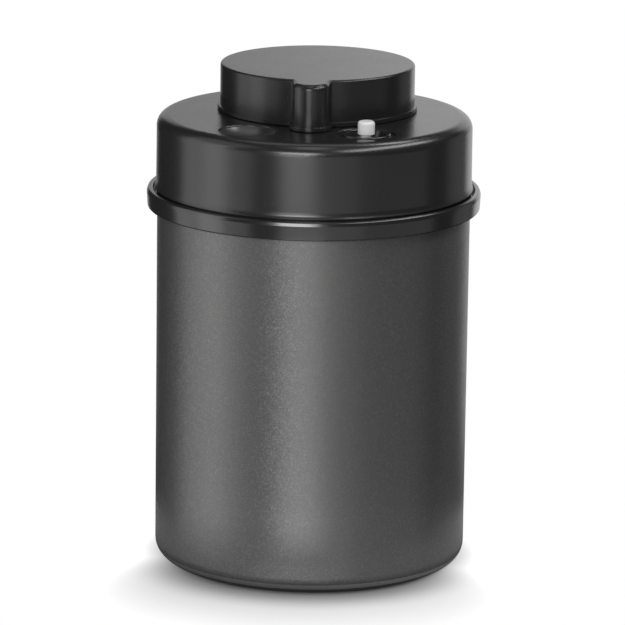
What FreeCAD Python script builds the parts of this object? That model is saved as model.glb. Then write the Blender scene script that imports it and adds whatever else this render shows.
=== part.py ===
import FreeCAD
import Part
import Sketcher
import math
import os

# Vacuum seal canister: a steel cup, a collar round its mouth and a lid with a hand pump.
# Turning the knob lifts and drops a piston in the lid, which draws the air out of the cup.
# Millimetres, +Z up, origin at the centre of the standing ring, button and peg towards -Y.
# The knob and the pump under it share an axis that stands behind the cup's.

driving_sizes = [
    # canister
    ("body_radius", 60.0, "outer radius of the steel cup"),
    ("body_wall", 0.8, "steel thickness"),
    ("body_height", 138.3, "floor to the underside of the collar"),
    ("foot_round", 6.4, "round of the cup's lower edge"),
    ("stand_width", 3.6, "flat ring that the cup stands on"),
    ("dish_run", 3.0, "slope between standing ring and base panel, sideways"),
    ("dish_lift", 1.8, "base panel above the standing ring"),
    # collar
    ("collar_out", 4.0, "collar beyond the cup"),
    ("collar_height", 7.3, "visible height of the collar"),
    ("lip_width", 2.5, "width of the collar's lip"),
    ("lip_depth", 2.6, "lid seat below the lip"),
    ("seat_thick", 1.2, "collar between the lid seat and the soft ring"),
    ("lip_round", 1.6, "round of the lip's outer edge"),
    ("lip_in_round", 0.6, "round of its inner edge"),
    ("collar_taper", 0.2, "collar narrower at its foot"),
    ("collar_foot_round", 0.7, "round of the collar's lower edge"),
    ("collar_fit", 0.05, "collar clear of the steel on each side"),
    ("mouth_wall", 1.9, "skirt inside the steel"),
    ("mouth_depth", 10.5, "skirt below the lid seat"),
    ("rim_seal_thick", 0.6, "soft ring on the steel rim"),
    # lid cover
    ("lid_over", 0.3, "lid wall beyond the cup"),
    ("lid_wall", 2.2, "wall of the lid"),
    ("lid_top_thick", 2.6, "top of the lid"),
    ("lid_round", 4.6, "round of the lid's upper edge"),
    ("lid_foot_round", 0.9, "round of the lid's lower edge"),
    ("lid_draft", 0.15, "lid wall wider at its foot"),
    ("brim_out", 0.7, "brim of the lid beyond its wall's top"),
    ("brim_lift", 0.4, "brim above the collar's lip"),
    ("brim_edge", 0.3, "upright edge of the brim"),
    ("brim_height", 2.0, "height over which the wall widens to the brim"),
    ("seat_clear", 0.1, "lid above its seat"),
    ("boss_width", 3.1, "upright ring inside the knob"),
    ("boss_height", 5.0, "height of that ring"),
    ("boss_clear", 0.3, "ring inside the knob's wall"),
    ("place_share", 0.179, "radius of the two round places, of the lid's"),
    ("place_margin", 2.6, "round places clear of the edge round"),
    ("place_angle", 31.6, "degrees from the front to each round place"),
    ("place_round", 0.5, "edge of the round places"),
    ("sleeve_wall", 1.8, "sleeve round each place, under the lid"),
    ("sleeve_depth", 6.0, "length of that sleeve"),
    # screws
    ("screw_radius", 1.5, "shank"),
    ("screw_head_radius", 2.7, "pan head"),
    ("screw_head_height", 1.8, "pan head"),
    ("screw_head_round", 0.6, "edge of the head"),
    ("screw_length", 9.0, "shank of the screws into the cover"),
    ("short_screw_length", 6.2, "shank of the screws that hold the barrel"),
    ("screw_fit", 0.05, "shank clear of its hole"),
    ("screw_tip_clear", 1.0, "hole beyond the tip"),
    ("screw_post_wall", 2.1, "plastic round a screw hole"),
    ("screw_head_margin", 0.4, "head clear of the wall beside it"),
    # inner plate, plug and gasket
    ("base_thick", 2.4, "inner plate of the lid"),
    ("base_fit", 0.1, "plate inside the lid's wall"),
    ("plug_clear", 1.1, "plug inside the mouth"),
    ("plug_wall", 3.4, "wall of the plug"),
    ("plug_depth", 8.8, "plug below the plate"),
    ("groove_drop", 2.7, "gasket groove below the plate"),
    ("groove_height", 3.4, "gasket groove"),
    ("groove_depth", 1.6, "gasket groove"),
    ("gasket_fit", 0.05, "gasket inside its groove"),
    ("gasket_clear", 0.2, "gasket lips clear of the mouth"),
    ("gasket_lip", 0.9, "thickness of a lip"),
    ("gasket_waist", 0.5, "plug face to the gasket's waist"),
    # filter
    ("port_radius", 9.0, "air port in the plate"),
    ("housing_radius", 15.0, "ring wall that holds the filter"),
    ("housing_wall", 1.6, "its thickness"),
    ("housing_depth", 6.0, "its height below the plate"),
    ("filter_thick", 2.4, "felt disc"),
    ("filter_fit", 0.1, "felt and cap inside the ring wall"),
    ("cap_plate", 1.5, "plate of the filter cap"),
    ("cap_wall", 1.4, "rim of the filter cap"),
    ("cap_hole_radius", 1.5, "air hole of the cap"),
    ("cap_hole_circle", 7.0, "ring of air holes"),
    # barrel
    ("barrel_share", 0.539, "bore of the pump, of the knob's radius"),
    ("barrel_wall", 2.0, "wall of the pump"),
    ("barrel_flange", 9.0, "flange beyond the wall"),
    ("barrel_flange_thick", 2.6, "flange"),
    ("barrel_seal_gap", 0.8, "wall to the seal's groove"),
    ("barrel_seal_wire", 1.8, "section of the round seal"),
    ("barrel_seal_fit", 0.1, "seal inside its groove"),
    ("chamber_height", 1.9, "air chamber under the pump's floor"),
    ("floor_thick", 2.2, "floor of the pump"),
    ("intake_radius", 1.1, "air hole in the floor"),
    ("intake_circle", 3.7, "ring of those holes"),
    ("valve_radius", 6.2, "soft mushroom valve"),
    ("valve_crown", 0.9, "its height on the floor"),
    ("valve_edge", 0.4, "its thickness at the edge"),
    ("valve_stem", 1.4, "its stem"),
    ("valve_fit", 0.05, "stem inside the floor"),
    ("valve_bulb", 2.0, "its swelling under the floor"),
    ("valve_tail", 2.1, "stem under the floor"),
    # piston
    ("stroke", 5.5, "travel of the piston from one stop to the other"),
    ("dead_gap", 0.8, "piston above the floor at its lowest"),
    ("piston_thick", 6.0, "piston"),
    ("piston_clear", 0.3, "piston inside the bore"),
    ("piston_recess", 1.6, "hollow under the piston for the valve"),
    ("piston_recess_clear", 1.2, "hollow beyond the valve"),
    ("ring_height", 2.4, "groove of the piston's seal"),
    ("ring_depth", 1.9, "groove of the piston's seal"),
    ("ring_fit", 0.05, "seal inside its groove"),
    ("ring_clear", 0.1, "seal inside the bore"),
    ("flap_thick", 0.7, "soft ring over the outlet holes"),
    ("flap_width", 6.0, "soft ring over the outlet holes"),
    ("flap_fit", 0.05, "soft ring round the stem"),
    ("outlet_radius", 1.2, "air hole through the piston"),
    ("top_gap", 0.3, "soft ring under the barrel's cap at the highest"),
    # stem, guide, drum, all round one axis
    ("stem_radius", 7.0, "piston stem"),
    ("stem_clear", 0.3, "stem inside the guide tube"),
    ("stem_head", 2.6, "stem above the cross pin"),
    ("pin_radius", 1.5, "cross pin"),
    ("pin_fit", 0.05, "cross pin in the stem"),
    ("pin_clear", 0.25, "cross pin in the slots"),
    ("pin_sink", 0.3, "pin's ends inside the drum's face"),
    ("guide_wall", 2.1, "guide tube"),
    ("guide_cap_thick", 2.4, "cap of the barrel, which carries the guide tube"),
    ("guide_skirt", 5.0, "skirt of the cap down the barrel"),
    ("guide_skirt_wall", 1.6, "its thickness"),
    ("guide_fit", 0.05, "skirt round the barrel"),
    ("guide_top_gap", 1.0, "guide tube below the drum's top"),
    ("vent_radius", 1.5, "air hole in the cap"),
    ("drum_clear", 0.3, "drum round the guide tube"),
    ("drum_wall", 3.3, "drum"),
    ("drum_gap", 0.8, "drum above the cap"),
    ("drum_tail", 5.3, "drum below the lid's top plate"),
    ("drum_collar", 4.2, "collar that rides on the washer, beyond the drum"),
    ("drum_collar_thick", 1.4, "that collar"),
    ("drum_flange_over", 0.35, "flange in the knob, beyond the barrel's cap"),
    ("drum_flange_thick", 1.6, "that flange"),
    ("slot_margin", 0.6, "drum left above and below its slots"),
    ("slot_relief", 0.05, "round ends of its slots wider than the slots, each way"),
    ("turn_range", 120.0, "degrees that the knob turns from one stop to the other"),
    ("bearing_clear", 0.3, "drum in the lid"),
    ("washer_thick", 1.0, "slip washer"),
    ("washer_gap", 0.1, "drum's collar above the washer"),
    ("clip_thick", 0.9, "spring clip of the drum"),
    ("clip_depth", 0.9, "its groove"),
    ("clip_width", 3.0, "clip from groove to rim"),
    ("clip_gap", 0.2, "clip below the lid's top plate"),
    ("clip_fit", 0.05, "clip inside its groove"),
    ("clip_sweep", 325.0, "degrees of ring in a spring clip"),
    # knob
    ("knob_share", 0.62207, "knob's radius, of the cup's"),
    ("knob_back", 11.35, "knob's axis behind the cup's"),
    ("knob_wall", 2.2, "knob"),
    ("knob_top_thick", 2.2, "knob"),
    ("knob_land", 1.3, "step that the drum's flange lies against"),
    ("knob_land_width", 4.0, "that step, inside the flange's edge"),
    ("knob_gap", 0.3, "knob above the lid's top"),
    ("knob_round", 1.2, "upper edge of the knob"),
    ("nose_radius", 7.2, "half the width of the nose"),
    ("nose_out", 10.9, "tip of the nose beyond the knob's wall"),
    ("nose_turn", 1.0, "degrees from the front to the nose, anticlockwise"),
    ("flare_out", 1.0, "lower edge of the knob beyond its wall"),
    ("flare_height", 1.7, "height over which it widens"),
    ("snap_wall", 2.2, "ring that grips the drum's flange"),
    ("snap_depth", 4.6, "that ring below the step"),
    ("snap_fit", 0.1, "ring round the flange"),
    ("snap_bead", 0.7, "bead under the flange"),
    ("key_width", 3.0, "key between knob and drum"),
    ("key_depth", 2.4, "key into the flange"),
    ("key_fit", 0.1, "key inside its notch"),
    # release valve
    ("button_clear", 0.3, "button in its place"),
    ("button_rim", 0.9, "flat rim of the button"),
    ("button_hollow", 2.3, "depth of the finger hollow"),
    ("button_web", 1.8, "button under its hollow"),
    ("button_wall", 1.8, "button's skirt"),
    ("button_skirt", 8.0, "button's skirt"),
    ("button_edge_round", 0.4, "edge of the rim"),
    ("rod_radius", 2.0, "rod of the button, and of the indicator"),
    ("rod_tail", 0.9, "rod below its clip"),
    ("release_port", 1.2, "air gap round the rod"),
    ("release_seal_out", 3.4, "soft disc beyond the rod"),
    ("release_seal_thick", 2.2, "soft disc"),
    ("release_seal_gap", 0.1, "soft disc below the plate"),
    ("release_seal_fit", 0.05, "soft disc round the rod"),
    ("rod_clip_thick", 0.8, "clip of the rod"),
    ("rod_clip_depth", 0.5, "its groove"),
    ("rod_clip_width", 2.0, "clip from groove to rim"),
    ("spring_post_wall", 0.8, "ring inside the release spring"),
    ("spring_post_height", 1.6, "its height"),
    ("spring_fit", 0.3, "springs clear of what they sit on or round"),
    ("release_wire", 0.8, "wire of the release spring"),
    ("release_turns", 6.0, "its turns"),
    # vacuum indicator
    ("cup_fit", 0.05, "indicator cup in its place"),
    ("cup_height", 7.0, "indicator cup"),
    ("cup_ledge", 0.7, "outer ledge below the lid's top"),
    ("cup_ledge_width", 1.6, "outer ledge"),
    ("cup_ring_width", 1.5, "raised ring"),
    ("cup_ring_rise", 0.3, "raised ring above the lid's top"),
    ("cup_ring_round", 0.5, "edge of the raised ring"),
    ("cup_floor_drop", 2.6, "floor of the cup below the lid's top"),
    ("cup_slope", 1.0, "inner wall of the ring, sideways"),
    ("peg_radius", 3.2, "white peg"),
    ("peg_clear", 0.3, "peg in the cup"),
    ("peg_rise", 5.3, "peg above the lid's top"),
    ("peg_sink", 0.4, "foot of the peg below the lid's top"),
    ("peg_round", 1.3, "upper edge of the peg"),
    ("rod_flange_thick", 1.4, "flange that the spring lifts"),
    ("rod_flange_gap", 0.3, "flange below the cup"),
    ("indicator_wire", 0.6, "wire of the indicator spring"),
    ("indicator_turns", 6.0, "its turns"),
    ("indicator_coil", 5.4, "centre of the wire from the rod's axis"),
    ("membrane_share", 0.831, "soft disc under the rod, of its place's radius"),
    ("membrane_thick", 0.9, "soft disc"),
    ("membrane_hub", 3.0, "its raised middle"),
    ("membrane_hub_rise", 0.7, "its raised middle"),
    ("membrane_fit", 0.1, "soft disc and its ring in their seat"),
    ("membrane_port", 5.6, "hole in the plate under the soft disc"),
    ("clamp_bore", 4.4, "hole of the ring that holds the soft disc"),
    ("clamp_thick", 1.7, "that ring"),
    ("clamp_seat_wall", 1.6, "wall round it, on the plate"),
    ("rod_end_gap", 0.1, "rod above the soft disc"),
    # cuts
    ("overrun", 1.0, "how far a cut runs past the solid"),
]

doc = FreeCAD.newDocument("vacuum_seal_canister")
sheet = doc.addObject("Spreadsheet::Sheet", "sizes")
for row, (alias, number, note) in enumerate(driving_sizes, start=1):
    sheet.set(f"A{row}", alias)
    sheet.set(f"B{row}", str(number))
    sheet.setAlias(f"B{row}", alias)
    sheet.set(f"C{row}", note)
doc.recompute()


class Dim:
    """A size: its number and the expression on the sheet that gives it."""

    def __init__(self, number, text):
        self.number = number
        self.text = text

    def __add__(self, other):
        other = as_dim(other)
        return Dim(self.number + other.number, f"({self.text} + {other.text})")

    def __sub__(self, other):
        other = as_dim(other)
        return Dim(self.number - other.number, f"({self.text} - {other.text})")

    def __mul__(self, other):
        other = as_dim(other)
        return Dim(self.number * other.number, f"({self.text} * {other.text})")

    def __truediv__(self, other):
        other = as_dim(other)
        return Dim(self.number / other.number, f"({self.text} / {other.text})")

    def __rmul__(self, other):
        return as_dim(other) * self

    def __neg__(self):
        return Dim(-self.number, f"(-{self.text})")


def as_dim(thing):
    return thing if isinstance(thing, Dim) else Dim(thing, str(thing))


def sine(angle):
    return Dim(math.sin(math.radians(angle.number)), f"sin({angle.text} * 1 deg)")


def cosine(angle):
    return Dim(math.cos(math.radians(angle.number)), f"cos({angle.text} * 1 deg)")


def arctangent(ratio):
    return Dim(math.degrees(math.atan(ratio.number)), f"atan({ratio.text})")


class Sizes:
    """The sheet's cells by their names."""

    def __getattr__(self, alias):
        return Dim(float(sheet.get(alias)), f"sizes.{alias}")


size = Sizes()

# radii from the axis outwards
stand_in = size.body_radius - size.foot_round - size.stand_width
body_in = size.body_radius - size.body_wall
collar_radius = size.body_radius + size.collar_out
collar_bore = size.body_radius + size.collar_fit
collar_foot = collar_radius - size.collar_taper
lip_in = collar_radius - size.lip_width
skirt_out = body_in - size.collar_fit
mouth_radius = skirt_out - size.mouth_wall
lid_radius = size.body_radius + size.lid_over
lid_in = lid_radius - size.lid_wall
base_radius = lid_in - size.base_fit
plug_radius = mouth_radius - size.plug_clear
plug_in = plug_radius - size.plug_wall
knob_radius = size.body_radius * size.knob_share
nose_y = knob_radius + size.nose_out - size.nose_radius
knob_in = knob_radius - size.knob_wall
boss_radius = knob_in - size.boss_clear
boss_in = boss_radius - size.boss_width
place_radius = lid_radius * size.place_share
place_rho = lid_radius - size.lid_round - size.place_margin - place_radius
membrane_radius = place_radius * size.membrane_share
place_x = place_rho * sine(size.place_angle)
place_y = -(place_rho * cosine(size.place_angle))
guide_in = size.stem_radius + size.stem_clear
guide_out = guide_in + size.guide_wall
drum_in = guide_out + size.drum_clear
drum_out = drum_in + size.drum_wall
drum_bore = drum_out + size.bearing_clear
drum_collar_out = drum_out + size.drum_collar
barrel_radius = knob_radius * size.barrel_share
barrel_out = barrel_radius + size.barrel_wall
vent_rho = (drum_out + barrel_radius) / 2
guide_skirt_in = barrel_out + size.guide_fit
guide_skirt_out = guide_skirt_in + size.guide_skirt_wall
drum_flange_out = guide_skirt_out + size.drum_flange_over
barrel_flange_out = barrel_out + size.barrel_flange
screw_hole = size.screw_radius + size.screw_fit
screw_post = screw_hole + size.screw_post_wall
base_screw_rho = plug_in - size.screw_head_radius - size.screw_head_margin
barrel_screw_rho = barrel_flange_out - size.screw_head_radius - size.screw_head_margin
slot_half = size.pin_radius + size.pin_clear

# heights from the floor upwards
collar_z = size.body_height + size.collar_height
seat_z = collar_z - size.lip_depth
rim_seal_z = seat_z - size.seat_thick
rim_z = rim_seal_z - size.rim_seal_thick
mouth_z = seat_z - size.mouth_depth
lid_foot_z = seat_z + size.seat_clear
plug_z = lid_foot_z - size.plug_depth
base_z = lid_foot_z + size.base_thick
floor_under_z = base_z + size.chamber_height
floor_z = floor_under_z + size.floor_thick
piston_z = floor_z + size.dead_gap
piston_top_z = piston_z + size.piston_thick
barrel_z = piston_top_z + size.stroke + size.flap_thick + size.top_gap
guide_z = barrel_z + size.guide_cap_thick
drum_z = guide_z + size.drum_gap
cover_under_z = drum_z + size.drum_tail
lid_z = cover_under_z + size.lid_top_thick
washer_z = lid_z + size.washer_thick
drum_collar_z = washer_z + size.washer_gap
drum_collar_top_z = drum_collar_z + size.drum_collar_thick
pin_z = drum_collar_top_z + size.slot_margin + slot_half
pin_high_z = pin_z + size.stroke
drum_flange_z = pin_high_z + slot_half + size.slot_margin
drum_top_z = drum_flange_z + size.drum_flange_thick
knob_z = lid_z + size.knob_gap
knob_in_z = drum_top_z + size.knob_land
knob_top_z = knob_in_z + size.knob_top_thick


def bind(thing, prop, dim):
    thing.setExpression(prop, as_dim(dim).text)


pump_spot = (as_dim(0), size.knob_back)


def new_body(label, x=None, y=None):
    body = doc.addObject("PartDesign::Body", label)
    body.Label = label
    if x is not None:
        bind(body, "Placement.Base.x", x)
        bind(body, "Placement.Base.y", y)
    return body


def origin_item(body, role):
    return next(item for item in body.Origin.OriginFeatures if item.Role == role)


def new_sketch(body, name, role, x=None, z=None, turn=None):
    """A sketch on an origin plane, moved along the plane's X or off it along its normal, and
    turned about that normal."""
    sketch = body.newObject("Sketcher::SketchObject", name)
    sketch.AttachmentSupport = (origin_item(body, role), [""])
    sketch.MapMode = "FlatFace"
    if turn is not None:
        upright = FreeCAD.Rotation(FreeCAD.Vector(0, 0, 1), turn.number)
        sketch.AttachmentOffset = FreeCAD.Placement(FreeCAD.Vector(), upright)
        bind(sketch, "AttachmentOffset.Rotation.Angle", Dim(turn.number, f"{turn.text} * 1 deg"))
    if x is not None:
        bind(sketch, "AttachmentOffset.Base.x", x)
    if z is not None:
        bind(sketch, "AttachmentOffset.Base.z", z)
    return sketch


def hold(sketch, kind, dim, *ends):
    """A sketch dimension that follows the sheet."""
    index = sketch.addConstraint(Sketcher.Constraint(kind, *ends, dim.number))
    bind(sketch, f"Constraints[{index}]", dim)


def hold_point(sketch, item, end, x, y):
    """Pins one end of a line or arc, or a centre, at x, y."""
    for kind, axis, dim in (("DistanceX", -2, as_dim(x)), ("DistanceY", -1, as_dim(y))):
        if dim.number == 0:
            sketch.addConstraint(Sketcher.Constraint("PointOnObject", item, end, axis))
        elif dim.number < 0:
            hold(sketch, kind, -dim, item, end, -1, 1)
        else:
            hold(sketch, kind, dim, -1, 1, item, end)


def arc_between(start, stop, radius, side):
    """The shorter arc from start to stop; side is 1 for a left turn, -1 for a right turn and
    0 for a left turn of a half circle."""
    chord = stop - start
    across = FreeCAD.Vector(-chord.y, chord.x, 0) / chord.Length
    rise = math.sqrt(max(radius ** 2 - (chord.Length / 2) ** 2, 0))
    centre = (start + stop) / 2 + across * rise * side
    first, last = (start, stop) if side >= 0 else (stop, start)
    angles = [math.atan2(p.y - centre.y, p.x - centre.x) for p in (first, last)]
    circle = Part.Circle(centre, FreeCAD.Vector(0, 0, 1), radius)
    return Part.ArcOfCircle(circle, *angles)


def outline(sketch, points):
    """A closed outline. A point is (x, y), or (x, y, radius, side) if an arc leads to it."""
    places = [FreeCAD.Vector(as_dim(p[0]).number, as_dim(p[1]).number, 0) for p in points]
    count = len(points)
    ends = []
    for index in range(count):
        after = (index + 1) % count
        if len(points[after]) == 4:
            radius, side = points[after][2:]
            arc = arc_between(places[index], places[after], radius.number, side)
            item = sketch.addGeometry(arc)
            ends.append((item, 1, 2) if side >= 0 else (item, 2, 1))
        else:
            item = sketch.addGeometry(Part.LineSegment(places[index], places[after]))
            ends.append((item, 1, 2))
    for index, (item, first, last) in enumerate(ends):
        after = ends[(index + 1) % count]
        sketch.addConstraint(Sketcher.Constraint("Coincident", item, last, after[0], after[1]))
        hold_point(sketch, item, first, *points[index][:2])
        arrival = points[(index + 1) % count]
        if len(arrival) == 4 and arrival[3] == 0:
            sketch.addConstraint(Sketcher.Constraint("Symmetric", item, 1, item, 2, item, 3))
        elif len(arrival) == 4:
            hold(sketch, "Radius", arrival[2], item)


def turned(body, name, points, sweep=None, x=None):
    """A solid of revolution about Z from an outline of (radius, height) points."""
    sketch = new_sketch(body, f"{name}_outline", "XZ_Plane", x=x)
    outline(sketch, points)
    solid = body.newObject("PartDesign::Revolution", name)
    solid.Profile = sketch
    solid.ReferenceAxis = (sketch, ["V_Axis"])
    if sweep is not None:
        bind(solid, "Angle", sweep)
    return solid


def circle_at(sketch, x, y, radius):
    place = FreeCAD.Vector(as_dim(x).number, as_dim(y).number, 0)
    item = sketch.addGeometry(Part.Circle(place, FreeCAD.Vector(0, 0, 1), radius.number))
    hold_point(sketch, item, 3, x, y)
    hold(sketch, "Radius", radius, item)


def padded(body, sketch, name, length):
    solid = body.newObject("PartDesign::Pad", name)
    solid.Profile = sketch
    bind(solid, "Length", length)
    return solid


def pocketed(body, sketch, name, length):
    """Cuts downwards from the sketch."""
    cut = body.newObject("PartDesign::Pocket", name)
    cut.Profile = sketch
    bind(cut, "Length", length)
    return cut


def post(body, name, x, y, radius, low, high):
    sketch = new_sketch(body, f"{name}_outline", "XY_Plane", z=low)
    circle_at(sketch, x, y, radius)
    return padded(body, sketch, name, high - low)


def hole(body, name, x, y, radius, low, high):
    sketch = new_sketch(body, f"{name}_outline", "XY_Plane", z=high)
    circle_at(sketch, x, y, radius)
    return pocketed(body, sketch, name, high - low)


def cross_cut(body, name, points, reach):
    """Cuts along X, both ways from the middle, with an outline of (y, z) points."""
    sketch = new_sketch(body, f"{name}_outline", "YZ_Plane")
    outline(sketch, points)
    cut = pocketed(body, sketch, name, 2 * reach)
    cut.Midplane = True
    return cut


def around(body, name, features, count):
    """Repeats features evenly round Z."""
    pattern = body.newObject("PartDesign::PolarPattern", name)
    pattern.Originals = features
    pattern.Axis = (origin_item(body, "Z_Axis"), [""])
    pattern.Angle = 360
    pattern.Occurrences = count
    body.Tip = pattern
    return pattern


def rounded(body, name, base, rings, radius):
    """Rounds the circular edges of the given (radius, height) on a turned solid."""
    doc.recompute()
    fineness = base.Shape.BoundBox.DiagonalLength * 1e-6
    chosen = []
    for number, edge in enumerate(base.Shape.Edges, start=1):
        if edge.Degenerated or not isinstance(edge.Curve, Part.Circle):
            continue
        for ring, height in rings:
            near_ring = abs(edge.Curve.Radius - ring.number) < fineness
            near_height = abs(edge.Curve.Center.z - height.number) < fineness
            if near_ring and near_height:
                chosen.append(f"Edge{number}")
    fillet = body.newObject("PartDesign::Fillet", name)
    fillet.Base = (base, chosen)
    bind(fillet, "Radius", radius)
    return fillet


# canister

def make_canister_shell():
    body = new_body("canister_shell")
    inner_round = size.foot_round - size.body_wall
    foot_in = size.body_radius - size.foot_round
    turned(body, "cup", [
        (0, size.dish_lift),
        (stand_in - size.dish_run, size.dish_lift),
        (stand_in, 0),
        (foot_in, 0),
        (size.body_radius, size.foot_round, size.foot_round, 1),
        (size.body_radius, rim_z),
        (body_in, rim_z),
        (body_in, size.foot_round),
        (foot_in, size.body_wall, inner_round, -1),
        (stand_in, size.body_wall),
        (stand_in - size.dish_run, size.dish_lift + size.body_wall),
        (0, size.dish_lift + size.body_wall),
    ])
    return body


def make_collar_ring():
    body = new_body("collar_ring")
    ring = turned(body, "ring", [
        (collar_bore, size.body_height),
        (collar_foot, size.body_height),
        (collar_radius, collar_z),
        (lip_in, collar_z),
        (lip_in, seat_z),
        (mouth_radius, seat_z),
        (mouth_radius, mouth_z),
        (skirt_out, mouth_z),
        (skirt_out, rim_seal_z),
        (collar_bore, rim_seal_z),
    ])
    lip = rounded(body, "lip", ring, [(collar_radius, collar_z)], size.lip_round)
    inside = rounded(body, "lip_inside", lip, [(lip_in, collar_z)], size.lip_in_round)
    rounded(body, "foot", inside, [(collar_foot, size.body_height)], size.collar_foot_round)
    return body


def square_ring(label, inner, outer, low, high, sweep=None, x=None, y=None):
    body = new_body(label, x, y)
    turned(body, f"{label}_ring", [(inner, low), (outer, low), (outer, high), (inner, high)], sweep)
    return body


# lid

def make_lid_cover():
    body = new_body("lid_cover")
    brim_z = collar_z + size.brim_lift
    brim_radius = lid_radius + size.brim_out
    lid_low_radius = lid_radius + size.lid_draft
    flare = brim_radius - lid_low_radius
    brim_bend = (flare * flare + size.brim_height * size.brim_height) / (2 * flare)
    shell = turned(body, "cap", [
        (0, cover_under_z),
        (lid_in, cover_under_z),
        (lid_in, lid_foot_z),
        (lid_radius, lid_foot_z),
        (lid_radius, brim_z),
        (brim_radius, brim_z),
        (brim_radius, brim_z + size.brim_edge),
        (lid_low_radius, brim_z + size.brim_edge + size.brim_height, brim_bend, -1),
        (lid_radius, lid_z),
        (0, lid_z),
    ])
    inner_round = size.lid_round - size.lid_wall
    inside = rounded(body, "inner_edge", shell, [(lid_in, cover_under_z)], inner_round)
    edge = rounded(body, "upper_edge", inside, [(lid_radius, lid_z)], size.lid_round)
    rounded(body, "lower_edge", edge, [(lid_radius, lid_foot_z)], size.lid_foot_round)
    boss_z = lid_z + size.boss_height
    post(body, "boss", *pump_spot, boss_radius, lid_z, boss_z)
    hole(body, "boss_bore", *pump_spot, boss_in, lid_z, boss_z)
    hole(body, "drum_bore", *pump_spot, drum_bore, cover_under_z, lid_z)
    sleeve_z = cover_under_z - size.sleeve_depth
    sleeve = place_radius + size.sleeve_wall
    for side, x in (("left", -place_x), ("right", place_x)):
        post(body, f"{side}_sleeve", x, place_y, sleeve, sleeve_z, cover_under_z)
    for side, x in (("left", -place_x), ("right", place_x)):
        place = hole(body, f"{side}_place", x, place_y, place_radius, sleeve_z, lid_z)
    rounded(body, "place_edges", place, [(place_radius, lid_z)], size.place_round)
    bore_z = base_z + size.screw_length - size.base_thick + size.screw_tip_clear
    pillar = post(body, "screw_post", base_screw_rho, 0, screw_post, base_z, cover_under_z)
    bore = hole(body, "screw_bore", base_screw_rho, 0, screw_hole, base_z, bore_z)
    around(body, "screw_posts", [pillar, bore], 4)
    return body


def make_lid_base():
    body = new_body("lid_base")
    groove_top = lid_foot_z - size.groove_drop
    groove_low = groove_top - size.groove_height
    groove_in = plug_radius - size.groove_depth
    housing_in = size.housing_radius - size.housing_wall
    housing_z = lid_foot_z - size.housing_depth
    turned(body, "plate", [
        (0, base_z),
        (base_radius, base_z),
        (base_radius, lid_foot_z),
        (plug_radius, lid_foot_z),
        (plug_radius, groove_top),
        (groove_in, groove_top),
        (groove_in, groove_low),
        (plug_radius, groove_low),
        (plug_radius, plug_z),
        (plug_in, plug_z),
        (plug_in, lid_foot_z),
        (0, lid_foot_z),
    ])
    post(body, "housing", *pump_spot, size.housing_radius, housing_z, lid_foot_z)
    hole(body, "housing_bore", *pump_spot, housing_in, housing_z, lid_foot_z)
    hole(body, "air_port", *pump_spot, size.port_radius, lid_foot_z, base_z)
    rod_port = size.rod_radius + size.release_port
    seat_in = membrane_radius + size.membrane_fit
    seat_top = base_z + size.membrane_thick + size.clamp_thick
    post(body, "spring_post", -place_x, place_y, rod_port + size.spring_post_wall,
         base_z, base_z + size.spring_post_height)
    hole(body, "rod_port", -place_x, place_y, rod_port,
         lid_foot_z, base_z + size.spring_post_height)
    post(body, "clamp_seat", place_x, place_y, seat_in + size.clamp_seat_wall, base_z, seat_top)
    hole(body, "clamp_seat_bore", place_x, place_y, seat_in, base_z, seat_top)
    hole(body, "membrane_port", place_x, place_y, size.membrane_port, lid_foot_z, base_z)
    base_hole = hole(body, "base_screw_hole", base_screw_rho, 0, screw_hole, lid_foot_z, base_z)
    around(body, "base_screw_holes", [base_hole], 4)
    tip_z = base_z + size.barrel_flange_thick - size.short_screw_length
    pillar_z = tip_z - size.screw_tip_clear - size.screw_post_wall
    for number in range(3):
        angle = as_dim(number * 120)
        x = barrel_screw_rho * cosine(angle)
        y = size.knob_back + barrel_screw_rho * sine(angle)
        post(body, f"barrel_post_{number}", x, y, screw_post, pillar_z, lid_foot_z)
        hole(body, f"barrel_bore_{number}", x, y, screw_hole, tip_z - size.screw_tip_clear, base_z)
    return body


def make_lid_gasket():
    body = new_body("lid_gasket")
    top = lid_foot_z - size.groove_drop - size.gasket_fit
    low = top - size.groove_height + 2 * size.gasket_fit
    inner = plug_radius - size.groove_depth + size.gasket_fit
    outer = mouth_radius - size.gasket_clear
    waist = plug_radius + size.gasket_waist
    turned(body, "lips", [
        (inner, low),
        (outer, low),
        (outer, low + size.gasket_lip),
        (waist, low + size.gasket_lip),
        (waist, top - size.gasket_lip),
        (outer, top - size.gasket_lip),
        (outer, top),
        (inner, top),
    ])
    return body


def make_screws(label, rho, seat, length, pointing, count, x=None, y=None):
    """Pan-head screws round an axis, standing on seat and pointing up (1) or down (-1)."""
    body = new_body(label, x, y)
    head = seat - pointing * size.screw_head_height
    tip = seat + pointing * length
    points = [
        (0, head),
        (size.screw_head_radius - size.screw_head_round, head),
        (size.screw_head_radius, head + pointing * size.screw_head_round,
         size.screw_head_round, pointing),
        (size.screw_head_radius, seat),
        (size.screw_radius, seat),
        (size.screw_radius, tip),
        (0, tip),
    ]
    screw = turned(body, f"{label}_one", points, x=rho)
    around(body, f"{label}_all", [screw], count)
    return body


def make_filter_cap():
    body = new_body("filter_cap", *pump_spot)
    radius = size.housing_radius - size.housing_wall - size.filter_fit
    low = lid_foot_z - size.housing_depth
    high = lid_foot_z - size.filter_thick
    turned(body, "cap_shell", [
        (0, low),
        (radius, low),
        (radius, high),
        (radius - size.cap_wall, high),
        (radius - size.cap_wall, low + size.cap_plate),
        (0, low + size.cap_plate),
    ])
    air = hole(body, "air_hole", size.cap_hole_circle, 0, size.cap_hole_radius,
               low, low + size.cap_plate)
    around(body, "air_holes", [air], 8)
    return body


# pump

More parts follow.
